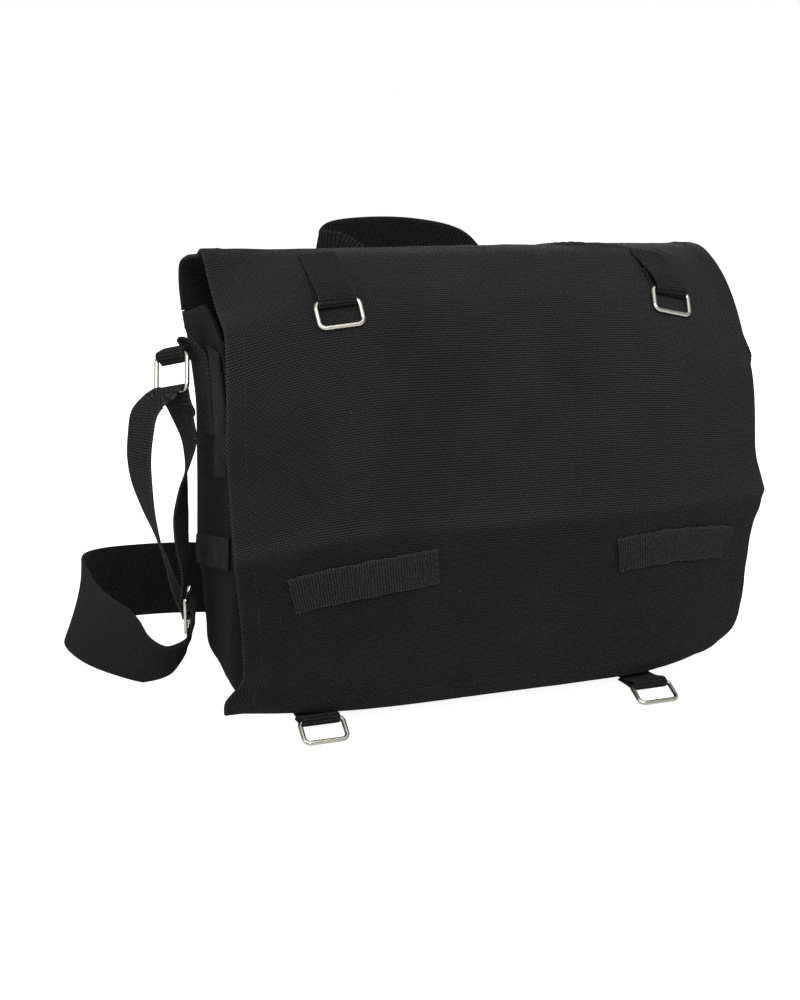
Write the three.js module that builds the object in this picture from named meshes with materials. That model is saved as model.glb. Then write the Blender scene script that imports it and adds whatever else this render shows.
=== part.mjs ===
// Shoulder bag of black cotton canvas, resting on its flat bottom with the flap closed and the strap laid
// round it. Millimetres, +Z up, the front faces -Y, +X is the right-hand side seen from the front.
// Origin: centre of the base.
import * as THREE from "three";

// Driving dimensions: body
const BODY_WIDTH = 380;
const BODY_DEPTH = 118;
const RIM_HEIGHT = 266;
const CLOTH = 2;
const GAP = 0.3;
const BOTTOM_EDGE_RADIUS = 22;
const SIDE_EDGE_RADIUS = 9;
const RIM_EDGE_RADIUS = 3;
const FRONT_BULGE = 21;
const BACK_BULGE = 5;
const FRONT_TOP_RISE = 8;
const GUSSET_FOLD_DEPTH = 3;
const GUSSET_FILL_DEPTH = 3.5;

// Driving dimensions: flap
const FLAP_WIDTH = 386;
const FLAP_RISE = 38;

// Driving dimensions: webbing and wire
const WEB_THICKNESS = 1.8;
const LINK_WEB_WIDTH = 25;
const RING_WIRE = 3.2;
const RING_WIDTH = 32;
const RING_HEIGHT = 20;
const RING_CORNER = 4;
const TAB_SPACING = 242;
const TOP_TAB_START = 18;
const TOP_TAB_LEFT = 48;
const TOP_TAB_RIGHT = 42;
const LOOP_SPACING = 226;
const LOOP_LENGTH = 96;
const LOOP_WIDTH = 24;
const LOOP_DROP_LEFT = 242;
const LOOP_DROP_RIGHT = 236;
const LOOP_RISE_LEFT = 5;
const LOOP_RISE_RIGHT = 16;
const LOOP_ARCH = 1.2;
const BOTTOM_TAB_LEFT = -143;
const BOTTOM_TAB_RIGHT = 92;

// Driving dimensions: carry handle
const HANDLE_WIDTH = 38;
const HANDLE_SPACING = 124;
const HANDLE_SEWN = 40;

// Driving dimensions: gusset webbing
const SIDE_WEB_WIDTH = 33;
const SIDE_WEB_DROP = 23;
const SIDE_WEB_DROP_RIGHT = 41;
const SIDE_WEB_LENGTH = 87;
const SIDE_BAND_LOW = 84;
const SIDE_BAND_WIDTH = 22;
const SIDE_BAND_LENGTH = 92;
const SIDE_SLOPE = 0.2;

// Driving dimensions: shoulder strap
const STRAP_WIDTH = 57;
const STRAP_RING_WIDTH = 32;
const STRAP_RING_HEIGHT = 28;
const STRAP_RING_OUT = 20;
const STRAP_RING_DROP = 31;
const STRAP_TAB_SEWN = 40;
const STRAP_TAB_FREE = 12;
const STRAP_TAB_STANDOFF = 3.5;
const STRAP_TAB_SHIFT = 5;
const SLIDER_WIDTH = 34;
const SLIDER_HEIGHT = 26;
const SLIDER_PLATE = 2.2;
const SLIDER_BAR = 3;
const SLIDER_LEVEL = 61;

const HALF_WIDTH = BODY_WIDTH / 2;
const HALF_DEPTH = BODY_DEPTH / 2;
const HALF_FLAP = FLAP_WIDTH / 2;
const BAG_HEIGHT = RIM_HEIGHT + FLAP_RISE;
const STRAP_RING_LEVEL = RIM_HEIGHT - STRAP_RING_DROP;
const SIDE_WEB_LOW = RIM_HEIGHT - SIDE_WEB_DROP - SIDE_WEB_LENGTH;
const LEFT = -1;
const RIGHT = 1;

// Half of the gusset's run, from the middle of the base to the rim. x is a share of the half width, z of the
// rim height.
const GUSSET_RUN = [
  { x: 0, z: 0 },
  { x: 0.32, z: 0 },
  { x: 0.63, z: 0 },
  { x: 0.79, z: 0.006 },
  { x: 0.885, z: 0.026 },
  { x: 0.955, z: 0.062 },
  { x: 0.99, z: 0.115 },
  { x: 1.0, z: 0.2 },
  { x: 0.998, z: 0.36 },
  { x: 0.989, z: 0.56 },
  { x: 0.987, z: 0.76 },
  { x: 1.0, z: 0.9 },
  { x: 1.016, z: 1.0 },
];
const CORNER_ROW = 4;

// Rise of the rim over its nominal height. y is a share of the half depth, left and right of the rim height.
const RIM_LINE = [
  { y: -1.0, left: -0.085, right: -0.2 },
  { y: -0.75, left: -0.045, right: -0.13 },
  { y: -0.35, left: 0.0, right: -0.035 },
  { y: 0.0, left: 0.012, right: -0.018 },
  { y: 0.5, left: -0.01, right: -0.018 },
  { y: 1.0, left: -0.026, right: -0.026 },
];

// Flap from behind the ridge, over the top and down to its hem. y is a share of the half depth, z of the
// bag's height and x of half the flap's width, for the middle of the flap and for its left and right edges.
const FLAP_ROWS = [
  { y: 1.12, z: 0.921, leftX: 1.005, leftY: 1.15, leftZ: 0.914, rightX: 0.975, rightY: 1.12, rightZ: 0.921 },
  { y: 1.02, z: 0.967, leftX: 1.005, leftY: 1.09, leftZ: 0.957, rightX: 0.975, rightY: 1.02, rightZ: 0.967 },
  { y: 0.75, z: 0.99, leftX: 1.0, leftY: 0.81, leftZ: 0.977, rightX: 0.975, rightY: 0.75, rightZ: 0.992 },
  { y: 0.34, z: 0.996, leftX: 0.995, leftY: 0.37, leftZ: 0.984, rightX: 0.975, rightY: 0.34, rightZ: 0.99 },
  { y: 0.0, z: 1.0, leftX: 1.0, leftY: 0.03, leftZ: 0.998, rightX: 0.96, rightY: -0.03, rightZ: 0.967 },
  { y: -0.37, z: 0.988, leftX: 1.0, leftY: -0.34, leftZ: 0.934, rightX: 0.96, rightY: -0.31, rightZ: 0.928 },
  { y: -0.71, z: 0.947, leftX: 1.0, leftY: -0.64, leftZ: 0.885, rightX: 0.96, rightY: -0.56, rightZ: 0.872 },
  { y: -1.02, z: 0.888, leftX: 1.0, leftY: -0.98, leftZ: 0.842, rightX: 0.96, rightY: -0.83, rightZ: 0.79 },
  { y: -1.24, z: 0.806, leftX: 1.012, leftY: -1.19, leftZ: 0.74, rightX: 0.97, rightY: -0.99, rightZ: 0.714 },
  { y: -1.39, z: 0.674, leftX: 1.022, leftY: -1.27, leftZ: 0.609, rightX: 0.97, rightY: -1.1, rightZ: 0.625 },
  { y: -1.51, z: 0.543, leftX: 1.02, leftY: -1.36, leftZ: 0.493, rightX: 0.97, rightY: -1.17, rightZ: 0.526 },
  { y: -1.61, z: 0.43, leftX: 1.02, leftY: -1.47, leftZ: 0.388, rightX: 0.985, rightY: -1.3, rightZ: 0.438 },
  { y: -1.6, z: 0.345, leftX: 1.008, leftY: -1.46, leftZ: 0.312, rightX: 0.97, rightY: -1.2, rightZ: 0.362 },
  { y: -1.58, z: 0.247, leftX: 0.995, leftY: -1.42, leftZ: 0.214, rightX: 0.97, rightY: -1.1, rightZ: 0.26 },
  { y: -1.56, z: 0.148, leftX: 0.995, leftY: -1.41, leftZ: 0.125, rightX: 0.96, rightY: -1.1, rightZ: 0.17 },
  { y: -1.54, z: 0.076, leftX: 1.003, leftY: -1.34, leftZ: 0.067, rightX: 0.94, rightY: -1.06, rightZ: 0.1 },
  { y: -1.5, z: 0.043, leftX: 1.026, leftY: -1.12, leftZ: 0.045, rightX: 0.89, rightY: -1, rightZ: 0.062 },
];
const RIDGE_ROW = 5;
const FLAP_COLUMNS = 16;
const EDGE_ZONE = { left: 0.42, right: 0.36 };

// Carry handle, flopped back behind the ridge. x is a share of the half width, y of the half depth, z of the
// bag's height, and across is the direction of the webbing's width.
const HANDLE_ROUTE = [
  { x: -0.345, y: 1.25, z: 0.925, across: [0.94, -0.22, 0.26] },
  { x: -0.4, y: 1.4, z: 0.96, across: [0.6, -0.4, 0.7] },
  { x: -0.455, y: 1.62, z: 0.964, across: [0.12, -0.34, 0.93] },
  { x: -0.385, y: 1.84, z: 0.983, across: [0, -0.25, 0.97] },
  { x: -0.21, y: 1.95, z: 0.993, across: [0, -0.25, 0.97] },
  { x: -0.02, y: 1.93, z: 0.988, across: [0, -0.25, 0.97] },
  { x: 0.12, y: 1.78, z: 0.968, across: [0, -0.28, 0.96] },
  { x: 0.2, y: 1.66, z: 0.925, across: [-0.2, -0.3, 0.93] },
  { x: 0.28, y: 1.54, z: 0.9, across: [-0.6, -0.3, 0.74] },
  { x: 0.325, y: 1.34, z: 0.88, across: [-0.94, -0.2, 0.26] },
];

// Shoulder strap, laid on its edge round the left-hand side and the back. x is a share of the half width, y
// of the half depth, z and wide of the strap's width, and across is the direction of the webbing's width.
const STRAP_ROUTE = [
  { x: -1.074, y: 0.236, z: 0.817, wide: 0.44, across: [-0.32, -0.95, 0] },
  { x: -1.078, y: 0.236, z: 0.74, wide: 0.46, across: [-0.32, -0.93, 0.1] },
  { x: -1.094, y: 0.25, z: 0.67, wide: 0.5, across: [-0.3, -0.88, 0.35] },
  { x: -1.13, y: 0.3, z: 0.57, wide: 0.6, across: [-0.2, -0.8, 0.56] },
  { x: -1.18, y: 0.43, z: 0.51, wide: 0.78, across: [-0.05, -0.62, 0.78] },
  { x: -1.242, y: 0.74, z: 0.5, wide: 1, across: [0, -0.33, 0.94] },
  { x: -1.311, y: 1.22, z: 0.505, wide: 1, across: [0.1, -0.2, 0.97] },
  { x: -1.363, y: 1.83, z: 0.5, wide: 1, across: [0.3, -0.05, 0.95] },
  { x: -1.379, y: 2.46, z: 0.5, wide: 1, across: [0.4, 0, 0.92] },
  { x: -1.337, y: 3.02, z: 0.53, wide: 1, across: [0.2, 0.2, 0.95] },
  { x: -1.232, y: 3.34, z: 0.55, wide: 1, across: [-0.1, 0.3, 0.94] },
  { x: -1.084, y: 3.36, z: 0.56, wide: 1, across: [-0.25, 0.3, 0.92] },
  { x: -0.921, y: 3.29, z: 0.56, wide: 1, across: [-0.2, 0.25, 0.94] },
  { x: -0.763, y: 3.19, z: 0.54, wide: 1, across: [-0.1, 0.15, 0.98] },
  { x: -0.53, y: 3.08, z: 0.515, wide: 1, across: [0, 0.05, 1] },
  { x: 0, y: 3.02, z: 0.51, wide: 1, across: [0, 0, 1] },
  { x: 0.53, y: 3.02, z: 0.51, wide: 1, across: [0, 0, 1] },
  { x: 0.79, y: 2.92, z: 0.51, wide: 1, across: [0, 0, 1] },
  { x: 0.974, y: 2.54, z: 0.51, wide: 1, across: [0, 0, 1] },
  { x: 1.08, y: 1.95, z: 0.51, wide: 1, across: [0, 0, 1] },
  { x: 1.126, y: 1.36, z: 0.51, wide: 1, across: [0, 0, 1] },
  { x: 1.132, y: 0.88, z: 0.52, wide: 1, across: [0, 0.2, 0.98] },
  { x: 1.12, y: 0.56, z: 0.54, wide: 0.8, across: [0.05, 0.48, 0.85] },
  { x: 1.104, y: 0.38, z: 0.6, wide: 0.62, across: [0.12, 0.75, 0.62] },
  { x: 1.088, y: 0.28, z: 0.675, wide: 0.5, across: [0.25, 0.88, 0.4] },
  { x: 1.078, y: 0.24, z: 0.74, wide: 0.46, across: [0.32, 0.93, 0.1] },
  { x: 1.074, y: 0.236, z: 0.825, wide: 0.44, across: [0.32, 0.95, 0] },
];

// The inner strand of the narrow strap from the slider up to the ring, then the outer strand from the ring
// down. x is a share of the half width at the left end and rightX at the right one, y of the half depth, up
// of the way from the slider to the ring, and turn is the heading of the webbing's width in degrees.
const INNER_STRAND = [
  { x: 1.084, rightX: 1.084, y: 0.25, up: 0.18, turn: 66 },
  { x: 1.09, rightX: 1.09, y: 0.3, up: 0.3, turn: 59 },
  { x: 1.088, rightX: 1.088, y: 0.34, up: 0.43, turn: 55 },
  { x: 1.075, rightX: 1.075, y: 0.36, up: 0.56, turn: 66 },
  { x: 1.058, rightX: 1.058, y: 0.36, up: 0.68, turn: 84 },
  { x: 1.055, rightX: 1.055, y: 0.34, up: 0.79, turn: 104 },
  { x: 1.08, rightX: 1.08, y: 0.32, up: 0.9, turn: 118 },
];
const OUTER_STRAND = [
  { x: 1.18, rightX: 1.165, y: 0.17, up: 0.965, turn: 124 },
  { x: 1.218, rightX: 1.172, y: 0.11, up: 0.92, turn: 122 },
  { x: 1.238, rightX: 1.176, y: 0.05, up: 0.83, turn: 119 },
  { x: 1.247, rightX: 1.176, y: 0.03, up: 0.73, turn: 117 },
  { x: 1.241, rightX: 1.174, y: 0.04, up: 0.62, turn: 112 },
  { x: 1.222, rightX: 1.17, y: 0.07, up: 0.5, turn: 99 },
  { x: 1.192, rightX: 1.158, y: 0.1, up: 0.37, turn: 86 },
  { x: 1.158, rightX: 1.144, y: 0.14, up: 0.24, turn: 80 },
  { x: 1.138, rightX: 1.134, y: 0.18, up: 0.15, turn: 75 },
];

const canvas = new THREE.MeshStandardMaterial({ color: 0x19191a, roughness: 0.95 });
const webbing = new THREE.MeshStandardMaterial({ color: 0x161617, roughness: 0.85 });
const plating = new THREE.MeshStandardMaterial({ color: 0xd2cfbd, roughness: 0.25, metalness: 1 });

const bag = new THREE.Group();

const vec = (x, y, z) => new THREE.Vector3(x, y, z);
const degrees = (angle) => THREE.MathUtils.degToRad(angle);
const smooth = (value, from, to) => THREE.MathUtils.smoothstep(value, from, to);
const mix = THREE.MathUtils.lerp;

function addMesh(name, geometry, material) {
  const mesh = new THREE.Mesh(geometry, material);
  mesh.name = name;
  bag.add(mesh);
  return mesh;
}

// Value at place of a straight-line table with a column of places and a column of values.
function along(table, placeColumn, valueColumn, place) {
  let k = 1;
  while (k < table.length - 1 && table[k][placeColumn] < place) {
    k += 1;
  }
  const low = table[k - 1];
  const high = table[k];
  const share = (place - low[placeColumn]) / (high[placeColumn] - low[placeColumn]);
  return mix(low[valueColumn], high[valueColumn], THREE.MathUtils.clamp(share, 0, 1));
}

function volumeOf(positions, faces) {
  const corner = (k) => vec(...positions.slice(3 * faces[k], 3 * faces[k] + 3));
  let sum = 0;
  for (let k = 0; k < faces.length; k += 3) {
    sum += corner(k).dot(corner(k + 1).cross(corner(k + 2)));
  }
  return sum / 6;
}

// Closed geometry of points and triangles, with its faces turned outwards.
function closedGeometry(positions, faces) {
  if (volumeOf(positions, faces) < 0) {
    faces.reverse();
  }
  const geometry = new THREE.BufferGeometry();
  geometry.setAttribute("position", new THREE.Float32BufferAttribute(positions, 3));
  geometry.setIndex(faces);
  geometry.computeVertexNormals();
  return geometry;
}

// A sheet with a thickness: two matching grids of points, one for each face, joined round their edges.
function slab(outer, inner) {
  const rows = outer.length;
  const columns = outer[0].length;
  const positions = [...outer, ...inner].flat().flatMap((p) => [p.x, p.y, p.z]);
  const at = (side, row, column) => (side * rows + row) * columns + column;
  const faces = [];
  const quad = (a, b, c, d) => faces.push(a, b, c, a, c, d);
  for (let i = 0; i < rows - 1; i++) {
    for (let j = 0; j < columns - 1; j++) {
      quad(at(0, i, j), at(0, i, j + 1), at(0, i + 1, j + 1), at(0, i + 1, j));
      quad(at(1, i, j), at(1, i + 1, j), at(1, i + 1, j + 1), at(1, i, j + 1));
    }
    quad(at(0, i, 0), at(0, i + 1, 0), at(1, i + 1, 0), at(1, i, 0));
    quad(at(0, i, columns - 1), at(1, i, columns - 1), at(1, i + 1, columns - 1), at(0, i + 1, columns - 1));
  }
  for (let j = 0; j < columns - 1; j++) {
    quad(at(0, 0, j), at(1, 0, j), at(1, 0, j + 1), at(0, 0, j + 1));
    quad(at(0, rows - 1, j), at(0, rows - 1, j + 1), at(1, rows - 1, j + 1), at(1, rows - 1, j));
  }
  return closedGeometry(positions, faces);
}

// Grid of the points that lie a distance off a grid's own surface, along its normals.
function gridOff(grid, distance) {
  const last = grid.length - 1;
  const end = grid[0].length - 1;
  return grid.map((row, i) =>
    row.map((point, j) => {
      const down = grid[Math.min(i + 1, last)][j].clone().sub(grid[Math.max(i - 1, 0)][j]);
      const over = row[Math.min(j + 1, end)].clone().sub(row[Math.max(j - 1, 0)]);
      return point.clone().addScaledVector(down.cross(over).normalize(), distance);
    }),
  );
}

// Webbing along a route of stops, each with a place, a direction across and a width, in steps for each span.
function ribbon(stops, thickness, steps) {
  const curve = new THREE.CatmullRomCurve3(stops.map((stop) => stop.at), false, "centripetal");
  const spans = stops.length - 1;
  const top = [];
  const under = [];
  for (let k = 0; k <= spans * steps; k++) {
    const stop = Math.min(Math.floor(k / steps), spans - 1);
    const share = k / steps - stop;
    const middle = curve.getPoint(k / (spans * steps));
    const heading = curve.getTangent(k / (spans * steps));
    const across = stops[stop].across.clone().lerp(stops[stop + 1].across, share);
    across.addScaledVector(heading, -across.dot(heading)).normalize();
    const lift = heading.clone().cross(across).multiplyScalar(thickness / 2);
    const half = across.multiplyScalar(mix(stops[stop].width, stops[stop + 1].width, share) / 2);
    const edges = [middle.clone().sub(half), middle.clone().add(half)];
    top.push(edges.map((p) => p.clone().add(lift)));
    under.push(edges.map((p) => p.clone().sub(lift)));
  }
  return slab(top, under);
}

// Rounded rectangle of round wire, lying in its own XY plane and centred on the origin.
function wireLoop(width, height, wire, corner) {
  const cornerSteps = 3;
  const sides = 6;
  const radius = corner - wire / 2;
  const positions = [];
  const faces = [];
  const corners = [
    { x: 1, y: 1, from: 0 },
    { x: -1, y: 1, from: 90 },
    { x: -1, y: -1, from: 180 },
    { x: 1, y: -1, from: 270 },
  ];
  const stations = corners.length * (cornerSteps + 1);
  corners.forEach((place) => {
    for (let k = 0; k <= cornerSteps; k++) {
      const turn = degrees(place.from + (90 * k) / cornerSteps);
      for (let side = 0; side < sides; side++) {
        const spin = (2 * Math.PI * side) / sides;
        const reach = radius + (wire / 2) * Math.cos(spin);
        positions.push(
          place.x * (width / 2 - corner) + reach * Math.cos(turn),
          place.y * (height / 2 - corner) + reach * Math.sin(turn),
          (wire / 2) * Math.sin(spin),
        );
      }
    }
  });
  for (let station = 0; station < stations; station++) {
    for (let side = 0; side < sides; side++) {
      const next = (station + 1) % stations;
      const beside = (side + 1) % sides;
      const a = station * sides + side;
      const b = next * sides + side;
      const c = next * sides + beside;
      const d = station * sides + beside;
      faces.push(a, b, c, a, c, d);
    }
  }
  return closedGeometry(positions, faces);
}

// Puts a wire loop so that its upper bar is centred on bar, with its width along across and its height along
// down.
function hangLoop(mesh, bar, across, down, height, wire) {
  const side = across.clone().normalize();
  const fall = down.clone().addScaledVector(side, -down.dot(side)).normalize();
  const facing = side.clone().cross(fall);
  mesh.setRotationFromMatrix(new THREE.Matrix4().makeBasis(side, fall, facing));
  mesh.position.copy(bar).addScaledVector(fall, (height - wire) / 2);
}

// Body
const frontSeam = (z) => -HALF_DEPTH * (0.97 - 0.13 * smooth(z, 0.5 * RIM_HEIGHT, 0.85 * RIM_HEIGHT));
const rearSeam = (z) => HALF_DEPTH * (1.01 + 0.08 * smooth(z, 0.3 * RIM_HEIGHT, 0.95 * RIM_HEIGHT));
const seamOffset = GAP + CLOTH;

function edgeRadius(z) {
  const low = mix(BOTTOM_EDGE_RADIUS, SIDE_EDGE_RADIUS, smooth(z, 0.06 * RIM_HEIGHT, 0.3 * RIM_HEIGHT));
  return mix(low, RIM_EDGE_RADIUS, smooth(z, 0.75 * RIM_HEIGHT, RIM_HEIGHT));
}

function rimRise(side, y) {
  return RIM_HEIGHT * along(RIM_LINE, "y", side === LEFT ? "left" : "right", y / HALF_DEPTH);
}

const RUN_STEPS = 2;
const EDGE_ANGLES = [80, 54, 27, 0];
const FLAT_SHARES = [-0.34, 0.34];

// Stations of the gusset's middle line from the left rim, under the base, to the right rim, each with its
// outward direction.
function gussetStations() {
  const right = GUSSET_RUN.map((row) => vec(row.x * HALF_WIDTH, 0, row.z * RIM_HEIGHT));
  const left = right.slice(1).reverse().map((p) => vec(-p.x, 0, p.z));
  const curve = new THREE.CatmullRomCurve3([...left, ...right], false, "centripetal");
  const count = (left.length + right.length - 1) * RUN_STEPS;
  return Array.from({ length: count + 1 }, (_, k) => {
    const point = curve.getPoint(k / count);
    const heading = curve.getTangent(k / count);
    point.z = Math.max(point.z, 0);
    return { point, outward: vec(heading.z, 0, -heading.x) };
  });
}

const stations = gussetStations();

// Depth of the hollow beside a soft fold that runs down the gusset from its middle to the front of the base.
function gussetFold(y, z) {
  const line = mix(-0.68, 0.3, THREE.MathUtils.clamp((z / RIM_HEIGHT - 0.1) / 0.23, 0, 1)) * HALF_DEPTH;
  const start = smooth(z, 0.08 * RIM_HEIGHT, 0.16 * RIM_HEIGHT);
  const end = smooth(z, 0.27 * RIM_HEIGHT, 0.34 * RIM_HEIGHT);
  return GUSSET_FOLD_DEPTH * (start - end) * smooth(y, line - 0.05 * HALF_DEPTH, line + 0.25 * HALF_DEPTH);
}

// How far the contents push the lower corners of the gusset out, towards the front.
function gussetFill(x, y, z) {
  const outer = smooth(Math.abs(x), 0.8 * HALF_WIDTH, 0.94 * HALF_WIDTH);
  const low = 1 - smooth(z, 0.08 * RIM_HEIGHT, 0.32 * RIM_HEIGHT);
  return GUSSET_FILL_DEPTH * outer * low * smooth(-y, -0.4 * HALF_DEPTH, 0.6 * HALF_DEPTH);
}

// Points of one gusset station from the front seam to the rear seam.
function gussetSection({ point, outward }) {
  const radius = edgeRadius(point.z);
  const reach = radius * Math.sin(degrees(EDGE_ANGLES[0]));
  const front = frontSeam(point.z);
  const rear = rearSeam(point.z);
  const places = EDGE_ANGLES.map((angle) => ({
    y: front + reach - radius * Math.sin(degrees(angle)),
    inset: radius * (1 - Math.cos(degrees(angle))),
  }));
  FLAT_SHARES.forEach((share) => places.push({ y: mix(front, rear, 0.5 + share / 2), inset: 0 }));
  [...EDGE_ANGLES].reverse().forEach((angle) =>
    places.push({
      y: rear - reach + radius * Math.sin(degrees(angle)),
      inset: radius * (1 - Math.cos(degrees(angle))),
    }),
  );
  const side = Math.sign(point.x) || RIGHT;
  return places.map(({ y, inset }) => {
    const upper = smooth(point.z, 0.6 * RIM_HEIGHT, RIM_HEIGHT);
    const place = vec(point.x, y, point.z + upper * rimRise(side, y));
    const push = gussetFill(point.x, y, point.z) - gussetFold(y, point.z) - inset;
    place.addScaledVector(outward, push);
    return place;
  });
}

const gussetOuter = stations.map(gussetSection);
addMesh("gusset", slab(gussetOuter, gridOff(gussetOuter, CLOTH)), canvas);

// Outer face of a panel between the gusset's seam on three sides and a top line, swelling by bulge in its
// middle.
function panelFace(column, seamSide, bulge, topLine) {
  const seam = gussetOuter.map((section) => section.at(column));
  const corner = (GUSSET_RUN.length - 1 - CORNER_ROW) * RUN_STEPS;
  const last = seam.length - 1;
  const columns = last - 2 * corner;
  const outer = [];
  for (let i = 0; i <= corner; i++) {
    const v = i / corner;
    const left = seam[corner - i];
    const right = seam[last - corner + i];
    const row = [];
    for (let j = 0; j <= columns; j++) {
      const u = j / columns;
      const base = seam[corner + j];
      const top = topLine(seam[0], seam[last], u);
      const blended = base.clone().multiplyScalar(1 - v).addScaledVector(top, v);
      blended.addScaledVector(left, 1 - u).addScaledVector(right, u);
      blended.addScaledVector(seam[corner], -(1 - u) * (1 - v));
      blended.addScaledVector(seam[last - corner], -u * (1 - v));
      blended.addScaledVector(topLine(seam[0], seam[last], 0), -(1 - u) * v);
      blended.addScaledVector(topLine(seam[0], seam[last], 1), -u * v);
      const spread = 1 - Math.pow(Math.abs(2 * u - 1), 3);
      blended.y += seamSide * (seamOffset + bulge * spread * Math.sin(Math.PI * Math.pow(v, 0.7)));
      row.push(blended);
    }
    outer.push(row);
  }
  return outer;
}

const BACK_RIM = RIM_HEIGHT * (1 + RIM_LINE.at(-1).left);
const frontTop = (start, end, u) => {
  const point = start.clone().lerp(end, u);
  point.z += FRONT_TOP_RISE * Math.sin(Math.PI * u);
  return point;
};
const backTop = (start, end, u) => {
  const point = start.clone().lerp(end, u);
  point.z = BACK_RIM;
  return point;
};
const shifted = (grid, offset) => grid.map((row) => row.map((point) => point.clone().add(offset)));
const frontFace = panelFace(0, -1, FRONT_BULGE, frontTop);
const backFace = panelFace(-1, 1, BACK_BULGE, backTop);
addMesh("front_panel", slab(frontFace, shifted(frontFace, vec(0, CLOTH, 0))), canvas);
addMesh("back_panel", slab(backFace, shifted(backFace, vec(0, -CLOTH, 0))), canvas);

// Flap. Its first row butts against the back panel's top edge, and the rest follow the table.
const flapRows = FLAP_ROWS.map((row) => ({
  middle: vec(0, row.y * HALF_DEPTH, row.z * BAG_HEIGHT),
  left: vec(-row.leftX * HALF_FLAP, row.leftY * HALF_DEPTH, row.leftZ * BAG_HEIGHT),
  right: vec(row.rightX * HALF_FLAP, row.rightY * HALF_DEPTH, row.rightZ * BAG_HEIGHT),
}));
const backTopY = rearSeam(BACK_RIM) + seamOffset;
flapRows.unshift({
  middle: vec(0, backTopY, BACK_RIM + GAP),
  left: vec(-HALF_FLAP, backTopY, BACK_RIM + GAP),
  right: vec(0.975 * HALF_FLAP, backTopY, BACK_RIM + GAP),
});
const flapCurves = {
  middle: new THREE.CatmullRomCurve3(flapRows.map((row) => row.middle), false, "centripetal"),
  left: new THREE.CatmullRomCurve3(flapRows.map((row) => row.left), false, "centripetal"),
  right: new THREE.CatmullRomCurve3(flapRows.map((row) => row.right), false, "centripetal"),
};

// Point of the flap's outer face: across runs from -1 at the left edge to 1 at the right, down from 0 to 1.
function flapPoint(across, down) {
  const middle = flapCurves.middle.getPoint(down);
  const edge = (across < 0 ? flapCurves.left : flapCurves.right).getPoint(down);
  const zone = across < 0 ? EDGE_ZONE.left : EDGE_ZONE.right;
  const reach = Math.abs(across);
  const pull = Math.pow(Math.max(reach - zone, 0) / (1 - zone), 2);
  return vec(reach * edge.x, mix(middle.y, edge.y, pull), mix(middle.z, edge.z, pull));
}

const FLAP_STEPS = 2;
const flapCount = (flapRows.length - 1) * FLAP_STEPS;
const flapOuter = Array.from({ length: flapCount + 1 }, (_, i) =>
  Array.from({ length: FLAP_COLUMNS + 1 }, (_unused, j) =>
    flapPoint((2 * j) / FLAP_COLUMNS - 1, i / flapCount),
  ),
);
addMesh("flap", slab(flapOuter, gridOff(flapOuter, -CLOTH)), canvas);

// Place on the flap at x, a length of cloth below the ridge and lifted off the face, with its directions.
function onFlap(x, length, lift) {
  const fine = 400;
  const across = x / (x < 0 ? HALF_FLAP : 0.975 * HALF_FLAP);
  let down = (RIDGE_ROW * FLAP_STEPS) / flapCount;
  let travelled = 0;
  let point = flapPoint(across, down);
  while (travelled < length && down < 1) {
    const next = flapPoint(across, down + 1 / fine);
    travelled += next.distanceTo(point);
    down += 1 / fine;
    point = next;
  }
  const step = 1 / fine;
  const fall = flapPoint(across, down + step).sub(flapPoint(across, down - step)).normalize();
  const over = flapPoint(across + 0.01, down).sub(flapPoint(across - 0.01, down)).normalize();
  const outward = fall.clone().cross(over).normalize();
  return { at: point.addScaledVector(outward, lift), fall, over, outward };
}

// Rings on webbing tabs. The webbing is sewn down at its start, passes over the ring's bar and returns
// beneath it.
const WEB_SEAT = GAP + WEB_THICKNESS / 2;
const BAR_LIFT = GAP + WEB_THICKNESS + GAP + RING_WIRE / 2;
const FOLD_RADIUS = RING_WIRE / 2 + GAP + WEB_THICKNESS / 2;

function topTab(name, x, length) {
  const barLength = TOP_TAB_START + length;
  const bar = onFlap(x, barLength, BAR_LIFT);
  const stops = [0, 0.25, 0.5, 0.75, 0.92].map((share) => {
    const lift = mix(WEB_SEAT + GAP, BAR_LIFT + FOLD_RADIUS, smooth(share, 0.2, 0.92));
    return { place: onFlap(x, TOP_TAB_START + share * length, lift) };
  });
  const folded = [90, 45, 0, -45, -90].map((angle) => {
    const turn = degrees(angle);
    const at = bar.at.clone();
    at.addScaledVector(bar.outward, FOLD_RADIUS * Math.sin(turn));
    at.addScaledVector(bar.fall, FOLD_RADIUS * Math.cos(turn));
    return { place: { at, over: bar.over } };
  });
  const returned = [0.3, 0.5].map((share) => ({
    place: onFlap(x, barLength - share * length, WEB_SEAT),
  }));
  const route = [...stops, ...folded, ...returned].map(({ place }) => ({
    at: place.at,
    across: place.over,
    width: LINK_WEB_WIDTH,
  }));
  addMesh("top_tab_" + name, ribbon(route, WEB_THICKNESS, 2), webbing);
  const low = onFlap(x, barLength + RING_HEIGHT - RING_WIRE, RING_WIRE / 2 + GAP);
  const loop = wireLoop(RING_WIDTH, RING_HEIGHT, RING_WIRE, RING_CORNER);
  const ring = addMesh("top_ring_" + name, loop, plating);
  hangLoop(ring, bar.at, bar.over, low.at.sub(bar.at), RING_HEIGHT, RING_WIRE);
}

topTab("left", -TAB_SPACING / 2, TOP_TAB_LEFT);
topTab("right", TAB_SPACING / 2, TOP_TAB_RIGHT);

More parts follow.
